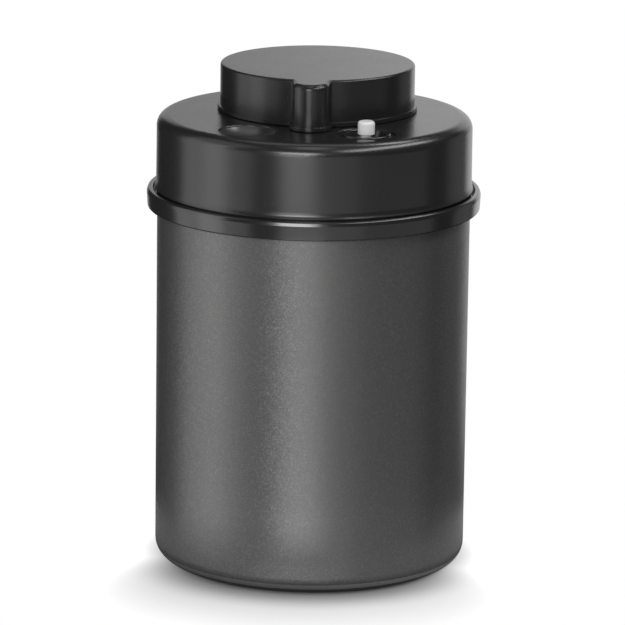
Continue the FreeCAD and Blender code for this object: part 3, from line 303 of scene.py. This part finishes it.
# inner mouldings and the white peg: a fine grain, and clouds drawn out along their height
mouldedLook = {
    "greyPlastic": {"tone": 0.055, "rough": 0.42, "warm": 0.0, "cloud": 0.12},
    "slipPlastic": {"tone": 0.70, "rough": 0.38, "warm": 0.02, "cloud": 0.05},
    "whitePlastic": {"tone": 0.80, "rough": 0.36, "warm": 0.008, "cloud": 0.03},
    "grainSize": 0.5 * mm,
    "grainDetail": 2.0,
    "grainDepth": 0.012 * mm,
    "grainStrength": 0.4,
    "flowSize": 8 * mm,
    "flowStretch": (1.0, 1.0, 0.35),
    "flowDetail": 3.0,
    "roughSpread": 0.10,
}


def makeMoulded(look, name):
    look = {**look, **look[name]}
    f = Finish(name)
    place = f.where()
    grain = f.noise(place, look["grainSize"], look["grainDetail"])
    flow = f.noise(f.stretched(place, look["flowStretch"]), look["flowSize"], look["flowDetail"])
    shares = (1 - look["cloud"], 1 + look["cloud"])
    colour = f.blendColours(flow, *[grey(look["tone"] * share, look["warm"]) for share in shares])
    rough = look["rough"] + look["roughSpread"] * (flow - noiseMiddle)
    normal = f.bump(grain, look["grainDepth"], look["grainStrength"])
    return f.shine({"Base Color": colour, "Roughness": rough, "Normal": normal})


# silicone: seals with a dull bloom and a little dust
siliconeLook = {
    "tone": 0.42,
    "darkShare": 0.9,
    "darkWarm": -0.01,
    "brightShare": 1.08,
    "bloomSize": 5 * mm,
    "bloomDetail": 4.0,
    "dustSize": 0.35 * mm,
    "dustDetail": 1.0,
    "dustStep": (0.60, 0.75),
    "grainSize": 0.8 * mm,
    "grainDetail": 2.0,
    "grainDepth": 0.015 * mm,
    "grainStrength": 0.5,
    "rough": 0.52,
    "bloomRough": 0.12,
    "dustRough": 0.08,
    "ior": 1.41,
}


def makeSilicone(look):
    f = Finish("silicone")
    place = f.where()
    bloom = f.noise(place, look["bloomSize"], look["bloomDetail"])
    dust = f.step(f.noise(place, look["dustSize"], look["dustDetail"]), *look["dustStep"])
    dark = grey(look["tone"] * look["darkShare"], look["darkWarm"])
    colour = f.blendColours(bloom, dark, grey(look["tone"] * look["brightShare"]))
    rough = look["rough"] + look["bloomRough"] * bloom + look["dustRough"] * dust
    grain = f.noise(place, look["grainSize"], look["grainDetail"])
    normal = f.bump(grain, look["grainDepth"], look["grainStrength"])
    return f.shine({"Base Color": colour, "Roughness": rough, "Normal": normal, "IOR": look["ior"]})


# bright steel: screws, springs, clips and the pin, drawn lengthwise with a faint haze
steelLook = {
    "tone": 0.54,
    "darkShare": 0.85,
    "darkWarm": 0.006,
    "brightShare": 1.1,
    "brightWarm": 0.003,
    "drawnSize": 0.2 * mm,
    "drawnStretch": (1.0, 1.0, 0.15),
    "drawnDetail": 3.0,
    "drawnBlur": 0.6,
    "drawnDepth": 0.004 * mm,
    "drawnStrength": 0.5,
    "hazeSize": 3 * mm,
    "hazeDetail": 3.0,
    "rough": 0.22,
    "hazeRough": 0.14,
}


def makeSteel(look):
    f = Finish("brightSteel")
    place = f.where()
    along = f.stretched(place, look["drawnStretch"])
    drawn = f.noise(along, look["drawnSize"], look["drawnDetail"], look["drawnBlur"])
    haze = f.noise(place, look["hazeSize"], look["hazeDetail"])
    dark = grey(look["tone"] * look["darkShare"], look["darkWarm"])
    bright = grey(look["tone"] * look["brightShare"], look["brightWarm"])
    colour = f.blendColours(drawn, dark, bright)
    rough = look["rough"] + look["hazeRough"] * haze
    normal = f.bump(drawn, look["drawnDepth"], look["drawnStrength"])
    return f.shine({"Base Color": colour, "Metallic": 1.0, "Roughness": rough, "Normal": normal})


# felt: fibres that lie both ways
feltLook = {
    "tone": 0.50,
    "darkShare": 0.7,
    "darkWarm": 0.03,
    "brightShare": 1.2,
    "brightWarm": 0.02,
    "fibreSize": 0.3 * mm,
    "fibreStretches": ((1.0, 0.25, 1.0), (0.25, 1.0, 1.0)),
    "fibreDetail": 5.0,
    "fibreBlur": 0.7,
    "fibreShare": 0.5,
    "fibreStep": (0.35, 0.65),
    "fibreDepth": 0.15 * mm,
    "fibreStrength": 0.8,
    "rough": 0.95,
}


def makeFelt(look):
    f = Finish("filterFelt")
    place = f.where()
    fibre, cross = [f.noise(f.stretched(place, way), look["fibreSize"], look["fibreDetail"], look["fibreBlur"])
                    for way in look["fibreStretches"]]
    mesh = look["fibreShare"] * fibre + look["fibreShare"] * cross
    dark = grey(look["tone"] * look["darkShare"], look["darkWarm"])
    bright = grey(look["tone"] * look["brightShare"], look["brightWarm"])
    colour = f.blendColours(f.step(mesh, *look["fibreStep"]), dark, bright)
    normal = f.bump(mesh, look["fibreDepth"], look["fibreStrength"])
    return f.shine({"Base Color": colour, "Roughness": look["rough"], "Normal": normal})


finishes = {
    "anthracite_enamel": makeEnamel(enamelLook),
    "black_plastic": makeBlack(blackLook),
    "grey_plastic": makeMoulded(mouldedLook, "greyPlastic"),
    "slip_plastic": makeMoulded(mouldedLook, "slipPlastic"),
    "white_plastic": makeMoulded(mouldedLook, "whitePlastic"),
    "silicone": makeSilicone(siliconeLook),
    "steel": makeSteel(steelLook),
    "felt": makeFelt(feltLook),
}

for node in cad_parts.values():
    for held in node.material_slots:
        held.material = finishes[held.material.name.split(".")[0]]
print("finishes made:", len(finishes))


# a run of corners (across, up, round): a round corner becomes an arc that touches both runs.
# its ends lie round / tan(half the corner's angle) back along the runs, and the arc is swept
# between them about its centre: centre + (start * sin((1 - s) t) + end * sin(s t)) / sin(t)
def bentProfile(corners, steps, closed=False):
    spots = np.array([(across, up) for across, up, bend in corners], float)
    bends = [bend for across, up, bend in corners]
    share = np.linspace(0, 1, steps + 1)[:, None]
    run = []
    for here, bend in enumerate(bends):
        ends = not closed and here in (0, len(bends) - 1)
        if bend == 0 or ends:
            run.append(spots[here:here + 1])
            continue
        back = spots[here - 1] - spots[here]
        ahead = spots[(here + 1) % len(bends)] - spots[here]
        back /= np.linalg.norm(back)
        ahead /= np.linalg.norm(ahead)
        half = np.arccos(np.clip(back @ ahead, -1, 1)) / 2
        middle = back + ahead
        centre = spots[here] + middle / np.linalg.norm(middle) * bend / np.sin(half)
        start = spots[here] + back * bend / np.tan(half) - centre
        end = spots[here] + ahead * bend / np.tan(half) - centre
        sweep = pi - 2 * half
        swept = start * np.sin((1 - share) * sweep) + end * np.sin(share * sweep)
        run.append(centre + swept / np.sin(sweep))
    return np.concatenate(run)


# point (i, j) = axis + across_i * (cos turn_j, sin turn_j) at height up_i
def spun(profile, turns, axis=(0.0, 0.0)):
    across = profile[:, 0, None]
    x = axis[0] + across * np.cos(turns)
    y = axis[1] + across * np.sin(turns)
    z = np.broadcast_to(profile[:, 1, None], x.shape)
    return np.stack([x, y, z], -1)


def fullTurn(count):
    return np.linspace(0, 2 * pi, count, endpoint=False)


# quads between the rows and columns of a grid, the last row or column joined to the first where closed
def gridQuads(rows, columns, closeRows, closeColumns):
    row = np.arange(rows if closeRows else rows - 1)[:, None]
    column = np.arange(columns if closeColumns else columns - 1)[None, :]
    nextRow = (row + 1) % rows
    nextColumn = (column + 1) % columns
    quads = [row * columns + column, row * columns + nextColumn,
             nextRow * columns + nextColumn, nextRow * columns + column]
    return np.stack(np.broadcast_arrays(*quads), -1).reshape(-1, 4)


meshLimits = {
    "weld": 0.002 * mm,      # points nearer than this are one
    "sliver": 0.001 * mm,    # and edges shorter than this go
    "sharp": 38.0,           # degrees: an edge that bends more stays sharp
}


# one mesh from several grids (points in mm, rows closed, columns closed), joined where they meet
def makePiece(name, grids, body, nodes, slotName, finish=None):
    points, quads, start = [], [], 0
    for grid, closeRows, closeColumns in grids:
        points.append(grid.reshape(-1, 3))
        quads.append(gridQuads(grid.shape[0], grid.shape[1], closeRows, closeColumns) + start)
        start += grid.shape[0] * grid.shape[1]
    mesh = bpy.data.meshes.new(name)
    mesh.from_pydata(np.concatenate(points) * mm, [], np.concatenate(quads).tolist())
    work = bmesh.new()
    work.from_mesh(mesh)
    bmesh.ops.remove_doubles(work, verts=work.verts, dist=meshLimits["weld"])
    bmesh.ops.dissolve_degenerate(work, edges=work.edges, dist=meshLimits["sliver"])
    openEdges = sum(edge.is_boundary for edge in work.edges)
    volume = work.calc_volume(signed=True) / mm ** 3
    work.to_mesh(mesh)
    work.free()
    mesh.shade_smooth()
    mesh.set_sharp_from_angle(angle=radians(meshLimits["sharp"]))
    piece = bpy.data.objects.new(name, mesh)
    scene.collection.objects.link(piece)
    weighted = piece.modifiers.new("faceWeights", "WEIGHTED_NORMAL")
    weighted.keep_sharp = True
    mesh.materials.append(finish or finishes[slotName])
    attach(piece, body)
    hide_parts(*nodes)
    print(name, "faces", len(mesh.polygons), "open edges", openEdges, "volume mm3", round(volume, 1))


# collar: a ring round the mouth that narrows to its foot, with a sloped face below the lip's top,
# a seat for the lid and a skirt inside the steel
collarRing = {
    "radius": 64.0,
    "footRadius": 63.69,
    "foot": 138.3,
    "footRound": 0.7,
    "slopeFoot": 143.9,
    "slopeRadius": 63.48,    # where the sloped face would meet the top
    "slopeRound": 0.3,
    "top": 145.6,
    "topRound": 0.9,
    "lipIn": 61.5,
    "lipRound": 0.6,
    "seat": 143.0,
    "mouth": 57.25,
    "mouthRound": 0.3,
    "mouthFoot": 132.5,
    "skirtOut": 59.15,
    "bore": 60.05,
    "rimSeal": 141.8,
    "bendSteps": 6,
    "segments": 360,
}


def makeCollar(s):
    profile = bentProfile([
        (s["bore"], s["foot"], 0),
        (s["footRadius"], s["foot"], s["footRound"]),
        (s["radius"], s["slopeFoot"], s["slopeRound"]),
        (s["slopeRadius"], s["top"], s["topRound"]),
        (s["lipIn"], s["top"], s["lipRound"]),
        (s["lipIn"], s["seat"], 0),
        (s["mouth"], s["seat"], s["mouthRound"]),
        (s["mouth"], s["mouthFoot"], s["mouthRound"]),
        (s["skirtOut"], s["mouthFoot"], s["mouthRound"]),
        (s["skirtOut"], s["rimSeal"], 0),
        (s["bore"], s["rimSeal"], 0),
    ], s["bendSteps"], closed=True)
    grid = spun(profile, fullTurn(s["segments"]))
    finish = makeBlack(blackLook, "collarPlastic")
    makePiece("collarRing", [(grid, True, True)], "canister", ["collar_ring"], "black_plastic", finish)


makeCollar(collarRing)

# the two round places in the lid, left and right of the front
places = {
    "rho": 42.306,
    "angle": 31.6,           # degrees from the front
    "front": -90.0,          # degrees from +X
}


def placeSpot(side):
    angle = radians(places["front"] + side * places["angle"])
    return (places["rho"] * cos(angle), places["rho"] * sin(angle))


# knob: a round cap with a nose and a low lip round its foot
knobCap = {
    "axis": (0.0, 11.35),    # behind the cup's axis
    "turn": 1.0,             # degrees from the front to the nose
    "radius": 37.324,
    "noseHalf": 7.2,
    "noseOut": 10.9,
    "noseFillet": 0.7,       # in the corner between nose and wall
    "foot": 174.3,
    "top": 191.8,
    "topShares": (0.97, 0.7, 0.35, 0.0),       # rings on the top, as shares of its outline
    "rimRound": 1.0,         # upper edge of the round wall
    "noseRound": 2.1,        # upper edge of the nose's tip
    "roundSteps": 10,
    "lipOut": 1.0,
    "lipHeight": 1.5,
    "lipRound": 0.1,
    "lipSteps": 4,
    "wall": 2.2,
    "wallDrop": 1.0,         # the wall's inner face begins this far below the ceiling
    "ceiling": 189.6,
    "ceilingShares": (0.0, 0.5, 0.9, 1.0),
    "snapIn": 24.218,
    "snapWall": 2.2,
    "snapFoot": 183.7,
    "snapSink": 0.5,         # into the ceiling
    "snapSegments": 240,
    "landIn": 20.118,
    "landFoot": 188.3,
    "noseCount": 72,
    "sideCount": 8,
    "filletCount": 10,
    "rimCount": 420,
}


# how many points each run of the outline has, from the nose's left side round to it again
def knobCounts(s):
    return [s[run + "Count"] for run in ("nose", "side", "fillet", "rim", "fillet", "side")]


# the knob's outline grown by d, one number for each point: a half circle about the nose's own middle, the
# nose's side at half width + d, a small fillet, an arc of radius + d about the axis, a fillet and a side.
# a fillet's centre lies half width + d + fillet across and radius + d + fillet from the axis
def knobOutline(s, grow):
    counts = knobCounts(s)
    run = np.repeat(np.arange(len(counts)), counts)
    share = np.concatenate([np.arange(count) / count for count in counts])
    half, radius, fillet = s["noseHalf"] + grow, s["radius"] + grow, s["noseFillet"]
    noseY = s["noseHalf"] - s["radius"] - s["noseOut"]
    across = half + fillet
    down = -np.sqrt((radius + fillet) ** 2 - across ** 2)
    bearing = np.arctan2(down, across)
    tip = pi + pi * share
    right = pi + bearing * share
    wall = bearing + (pi - 2 * bearing) * share
    left = bearing * share - bearing
    x = np.choose(run, [half * np.cos(tip), half, across + fillet * np.cos(right),
                        radius * np.cos(wall), fillet * np.cos(left) - across, -half])
    y = np.choose(run, [noseY + half * np.sin(tip), noseY + (down - noseY) * share,
                        down + fillet * np.sin(right), radius * np.sin(wall),
                        down + fillet * np.sin(left), down + (noseY - down) * share])
    return np.stack([x, y], -1)


# the upper edge's round goes from the wall's to the nose's along its sides, by 3 n^2 - 2 n^3
def makeKnob(s):
    counts = knobCounts(s)
    none = np.zeros(sum(counts))
    rise = np.arange(s["sideCount"]) / s["sideCount"]
    onNose = np.concatenate([np.ones(s["noseCount"]), 1 - rise, np.zeros(sum(counts[2:5])), rise])
    ease = onNose ** 2 * (3 - 2 * onNose)
    bend = s["rimRound"] + (s["noseRound"] - s["rimRound"]) * ease
    turn = radians(s["turn"])
    turned = np.array([(cos(turn), sin(turn)), (-sin(turn), cos(turn))])

    def ring(grow, up, share=1.0):
        flat = knobOutline(s, none + grow) * share @ turned + np.array(s["axis"])
        return np.concatenate([flat, (none + up)[:, None]], 1)

    rings = [ring(-s["wall"], s["ceiling"], share) for share in s["ceilingShares"]]
    lip = bentProfile([
        (-s["wall"], s["ceiling"] - s["wallDrop"], 0),
        (-s["wall"], s["foot"], s["lipRound"]),
        (s["lipOut"], s["foot"], s["lipRound"]),
        (s["lipOut"], s["foot"] + s["lipHeight"], s["lipRound"]),
        (0, s["foot"] + s["lipHeight"], s["lipRound"]),
        (0, s["top"] - s["noseRound"], 0),
    ], s["lipSteps"])
    rings += [ring(out, up) for out, up in lip]
    rings += [ring(-bend * (1 - np.cos(arc)), s["top"] - bend * (1 - np.sin(arc)))
              for arc in np.linspace(0, pi / 2, s["roundSteps"] + 1)]
    rings += [ring(-bend, s["top"], share) for share in s["topShares"]]
    snapOut, snapTop = s["snapIn"] + s["snapWall"], s["ceiling"] + s["snapSink"]
    snap = np.array([
        (s["landIn"], s["landFoot"]),
        (s["snapIn"], s["landFoot"]),
        (s["snapIn"], s["snapFoot"]),
        (snapOut, s["snapFoot"]),
        (snapOut, snapTop),
        (s["landIn"], snapTop),
    ])
    snapGrid = spun(snap, fullTurn(s["snapSegments"]), s["axis"])
    grids = [(np.stack(rings), False, True), (snapGrid, True, True)]
    finish = makeBlack(blackLook, "knobPlastic")
    makePiece("knobCap", grids, "knob", ["knob_shell"], "black_plastic", finish)


makeKnob(knobCap)

# release button: a finger hollow with a soft rim, on a skirt and a rod
releaseButton = {
    "radius": 10.70,
    "rim": 0.35,
    "rimRound": 0.15,
    "hollow": 3.5,
    "hollowPower": 2.2,
    "hollowRings": 40,
    "top": 173.65,
    "web": 169.9,
    "webRound": 0.6,
    "wall": 1.8,
    "skirtFoot": 166.0,
    "skirtRound": 0.3,
    "rod": 2.0,
    "rodFoot": 139.1,
    "rodRound": 0.3,
    "grooveTop": 140.8,
    "grooveFoot": 140.0,
    "grooveIn": 1.5,
    "bendSteps": 6,
    "segments": 160,
}


# the hollow sinks as depth * (1 - (r / rim)^power)
def makeButton(s):
    rim, skirtIn = s["radius"] - s["rim"], s["radius"] - s["wall"]
    r = np.linspace(rim, 0, s["hollowRings"])
    sink = s["hollow"] * (1 - (r / rim) ** s["hollowPower"])
    bowl = np.stack([r, s["top"] - sink], -1)
    outer = bentProfile([
        (0, s["rodFoot"], 0),
        (s["rod"], s["rodFoot"], s["rodRound"]),
        (s["rod"], s["grooveFoot"], 0),
        (s["grooveIn"], s["grooveFoot"], 0),
        (s["grooveIn"], s["grooveTop"], 0),
        (s["rod"], s["grooveTop"], 0),
        (s["rod"], s["web"], 0),
        (skirtIn, s["web"], s["webRound"]),
        (skirtIn, s["skirtFoot"], 0),
        (s["radius"], s["skirtFoot"], s["skirtRound"]),
        (s["radius"], s["top"], s["rimRound"]),
        (rim, s["top"], 0),
    ], s["bendSteps"])
    profile = np.concatenate([outer[:-1], bowl])
    grid = spun(profile, fullTurn(s["segments"]), placeSpot(-1))
    finish = makeBlack(blackLook, "buttonPlastic")
    makePiece("releaseButtonDish", [(grid, False, True)], "release", ["release_button"], "black_plastic",
              finish)


makeButton(releaseButton)

# indicator cup: a ledge, a raised ring and a sunk floor round the white peg
indicatorCup = {
    "radius": 10.744,
    "foot": 167.0,
    "footRound": 0.3,
    "ledge": 173.3,
    "ledgeRound": 0.2,
    "ringOut": 9.144,
    "ringFillet": 0.3,       # in the corner between ledge and ring
    "ringIn": 7.644,
    "ringTop": 174.3,
    "ringRound": 0.5,
    "slope": 1.0,
    "floor": 171.4,
    "floorFillet": 0.6,
    "bore": 3.6,
    "boreRound": 0.2,
    "bendSteps": 6,
    "segments": 160,
}


def makeCup(s):
    profile = bentProfile([
        (s["bore"], s["foot"], 0),
        (s["radius"], s["foot"], s["footRound"]),
        (s["radius"], s["ledge"], s["ledgeRound"]),
        (s["ringOut"], s["ledge"], s["ringFillet"]),
        (s["ringOut"], s["ringTop"], s["ringRound"]),
        (s["ringIn"], s["ringTop"], s["ringRound"]),
        (s["ringIn"] - s["slope"], s["floor"], s["floorFillet"]),
        (s["bore"], s["floor"], s["boreRound"]),
    ], s["bendSteps"], closed=True)
    grid = spun(profile, fullTurn(s["segments"]), placeSpot(1))
    makePiece("indicatorCupRing", [(grid, True, True)], "lid", ["indicator_cup"], "black_plastic")


makeCup(indicatorCup)

# indicator pin: white peg on a thin rod with a flange
indicatorPin = {
    "rod": 2.0,
    "rodFoot": 147.2,
    "rodRound": 0.3,
    "flange": 6.0,
    "flangeFoot": 165.3,
    "flangeTop": 166.7,
    "flangeRound": 0.2,
    "pegFoot": 174.0,
    "pegFootRound": 0.2,
    "pegTop": 179.0,
    "peg": 3.2,
    "pegRound": 1.1,
    "bendSteps": 8,
    "segments": 96,
}


def makePin(s):
    profile = bentProfile([
        (0, s["rodFoot"], 0),
        (s["rod"], s["rodFoot"], s["rodRound"]),
        (s["rod"], s["flangeFoot"], 0),
        (s["flange"], s["flangeFoot"], s["flangeRound"]),
        (s["flange"], s["flangeTop"], s["flangeRound"]),
        (s["rod"], s["flangeTop"], 0),
        (s["rod"], s["pegFoot"], 0),
        (s["peg"], s["pegFoot"], s["pegFootRound"]),
        (s["peg"], s["pegTop"], s["pegRound"]),
        (0, s["pegTop"], 0),
    ], s["bendSteps"])
    grid = spun(profile, fullTurn(s["segments"]), placeSpot(1))
    makePiece("indicatorPeg", [(grid, False, True)], "indicator", ["indicator_pin"], "white_plastic")


makePin(indicatorPin)
print("pieces made")

# floor: white to the camera, apart from its real shade close round the foot, which a painted shadow in the
# paper's colour deepens, and dull to the walls that mirror it, apart from a bright band in front
stageLook = {
    "floorRadius": 0.107,    # a small round table, so that low lamps shine past it
    "floorSegments": 96,
    "floorColour": 0.80,
    # painted shadow: the paper's colour is darker close round the foot, where little light gets in
    "paintedShadowColour": 0.22,   # close round the foot, where little light gets in
    "contactFade": (60 * mm, 80 * mm),
    "sideShade": (49 * mm, 15 * mm),    # where the shade begins beside and behind the foot, and its width
    "frontShade": (54 * mm, 53 * mm),   # the same in front
    "shadeFront": (0.2, 0.9),     # -y / rho where the front begins and is full
    "bandFront": (0.86, 0.98),    # -y / rho across the bright band of floor that the wall mirrors
    "bandNear": (68 * mm, 80 * mm),
    "ambient": 0.03,
    "backRadius": 1.1,
    "backSpan": (148.0, 205.0),   # bearings of its two ends, 180 straight behind
    "backColumns": 25,
    "backFoot": -0.25,
    "backTop": 0.64,
    "backLit": 0.4,          # what it sends to dull surfaces
    "backFade": (-0.20, 0.0),     # its left part is in the shade, between these two x
    "backShade": 0.62,
}


def makeFloor(look):
    rim = spun(np.array([(look["floorRadius"], 0.0)]), fullTurn(look["floorSegments"]))[0]
    mesh = bpy.data.meshes.new("studioFloor")
    mesh.from_pydata(rim, [], [list(range(len(rim)))])
    floor = bpy.data.objects.new("studioFloor", mesh)
    scene.collection.objects.link(floor)
    f = Finish("floorPaper")
    x, y = f.parts(f.where())[:2]
    rho = (x * x + y * y) ** 0.5
    seen, mirrored = f.lightPath("Is Camera Ray", "Is Glossy Ray")
    forward = 0 - y / rho
    ahead = f.step(forward, *look["shadeFront"])
    begin, reach = [side + ahead * (front - side)
                    for side, front in zip(look["sideShade"], look["frontShade"])]
    clear = f.step((rho - begin) / reach, 0.0, 1.0, "LINEAR")
    band = f.step(forward, *look["bandFront"]) * f.step(rho, *look["bandNear"])
    # a painted shadow: the diffuse paper is a darker colour close round the foot, and fades into the plain
    # paper further out
    contact, paper = [f.node("ShaderNodeBsdfDiffuse", None, {"Color": grey(look[tone])})
                      for tone in ("paintedShadowColour", "floorColour")]
    dull = f.mixShaders(f.step(rho, *look["contactFade"]), contact, paper)
    f.show(f.mixShaders(seen * clear + mirrored * band, dull, f.glow(1.0)))
    mesh.materials.append(f.material)


# backdrop: a bent white wall behind the canister for what mirrors it.
# the camera looks through it to the white world
def makeBackdrop(look):
    columns = look["backColumns"]
    bearing = np.radians(np.linspace(*look["backSpan"], columns)) - pi / 2
    ends = np.array([(look["backRadius"], look["backFoot"]), (look["backRadius"], look["backTop"])])
    wall = spun(ends, bearing)
    mesh = bpy.data.meshes.new("studioBackdrop")
    mesh.from_pydata(wall.reshape(-1, 3), [], gridQuads(len(ends), columns, False, False).tolist())
    backdrop = bpy.data.objects.new("studioBackdrop", mesh)
    scene.collection.objects.link(backdrop)
    f = Finish("backdropPaper")
    seen, mirrored, through = f.lightPath("Is Camera Ray", "Is Glossy Ray", "Is Transmission Ray")
    x = f.parts(f.where())[0]
    shown = f.mixShaders(f.step(x, *look["backFade"]), f.glow(look["backShade"]), f.glow(1.0))
    lit = f.mixShaders(mirrored + through, f.glow(look["backLit"]), shown)
    clear = f.node("ShaderNodeBsdfTransparent", None, {"Color": grey(1.0)})
    f.show(f.mixShaders(seen, lit, clear))
    mesh.materials.append(f.material)


# world: white to the camera, and a faint light from all round to the rest
def makeWorld(look):
    world = bpy.data.worlds.new("studioWorld")
    world.use_nodes = True
    scene.world = world
    f = Finish("studioWorld", world.node_tree)
    seen = f.lightPath("Is Camera Ray")[0]
    around, white = [f.glow(strength, "ShaderNodeBackground") for strength in (look["ambient"], 1.0)]
    f.show(f.mixShaders(seen, around, white), "ShaderNodeOutputWorld")


# lamps: each a soft box at a bearing from the front and a height in degrees, aimed at the canister's middle.
# the low ones stand below the table's edge, where the upright walls mirror them
lamps = [
    {"name": "frontHigh", "bearing": -7, "height": 22, "size": (0.55, 0.26), "power": 4.8},
    {"name": "frontMid", "bearing": -8, "height": 3, "size": (0.55, 0.41), "power": 2.3},
    {"name": "frontLow", "bearing": -4, "height": -7.7, "size": (0.63, 0.18), "power": 0.4},
    {"name": "frontDeep", "bearing": -4, "height": -26.5, "size": (0.59, 0.30), "power": 2.5},
    {"name": "frontRight", "bearing": 24, "height": -16, "size": (0.62, 0.75), "power": 0.75},
    {"name": "leftFront", "bearing": -50, "height": -11, "size": (0.45, 1.0), "power": 1.0},
    {"name": "leftNear", "bearing": -70, "height": 0, "size": (0.46, 1.62), "power": 4.0},
    {"name": "leftFar", "bearing": -92, "height": 0, "size": (0.55, 1.62), "power": 2.9},
    {"name": "leftTop", "bearing": -80, "height": 46, "size": (1.04, 0.55), "power": 1.1},
    {"name": "rightTop", "bearing": 72, "height": 49.5, "size": (1.55, 0.32), "power": 9.0},
    {"name": "rightLow", "bearing": 66, "height": -19, "size": (1.31, 0.60), "power": 0.7},
    {"name": "backRight", "bearing": 128, "height": -3, "size": (0.55, 0.80), "power": 0.32},
    {"name": "topFront", "bearing": 0, "height": 73, "size": (0.30, 0.60), "power": 1.0},
    {"name": "topBack", "bearing": 180, "height": 68, "size": (0.90, 0.62), "power": 1.1},
    {"name": "topSpot", "bearing": 135, "height": 60, "size": (0.23, 0.27), "power": 1.5},
]
lampDistance = 1.3
lampAim = Vector((0, 0, 0.1))


def makeLamp(spec):
    bearing, height = radians(spec["bearing"]), radians(spec["height"])
    away = Vector((sin(bearing) * cos(height), -cos(bearing) * cos(height), sin(height)))
    data = bpy.data.lights.new(spec["name"], "AREA")
    data.shape = "RECTANGLE"
    data.size, data.size_y = spec["size"]
    data.energy = spec["power"]
    lamp = bpy.data.objects.new(spec["name"], data)
    lamp.location = lampAim + away * lampDistance
    lamp.rotation_euler = away.to_track_quat("Z", "Y").to_euler()
    scene.collection.objects.link(lamp)


makeFloor(stageLook)
makeBackdrop(stageLook)
makeWorld(stageLook)
for lampSpec in lamps:
    makeLamp(lampSpec)
print("stage and lamps set")
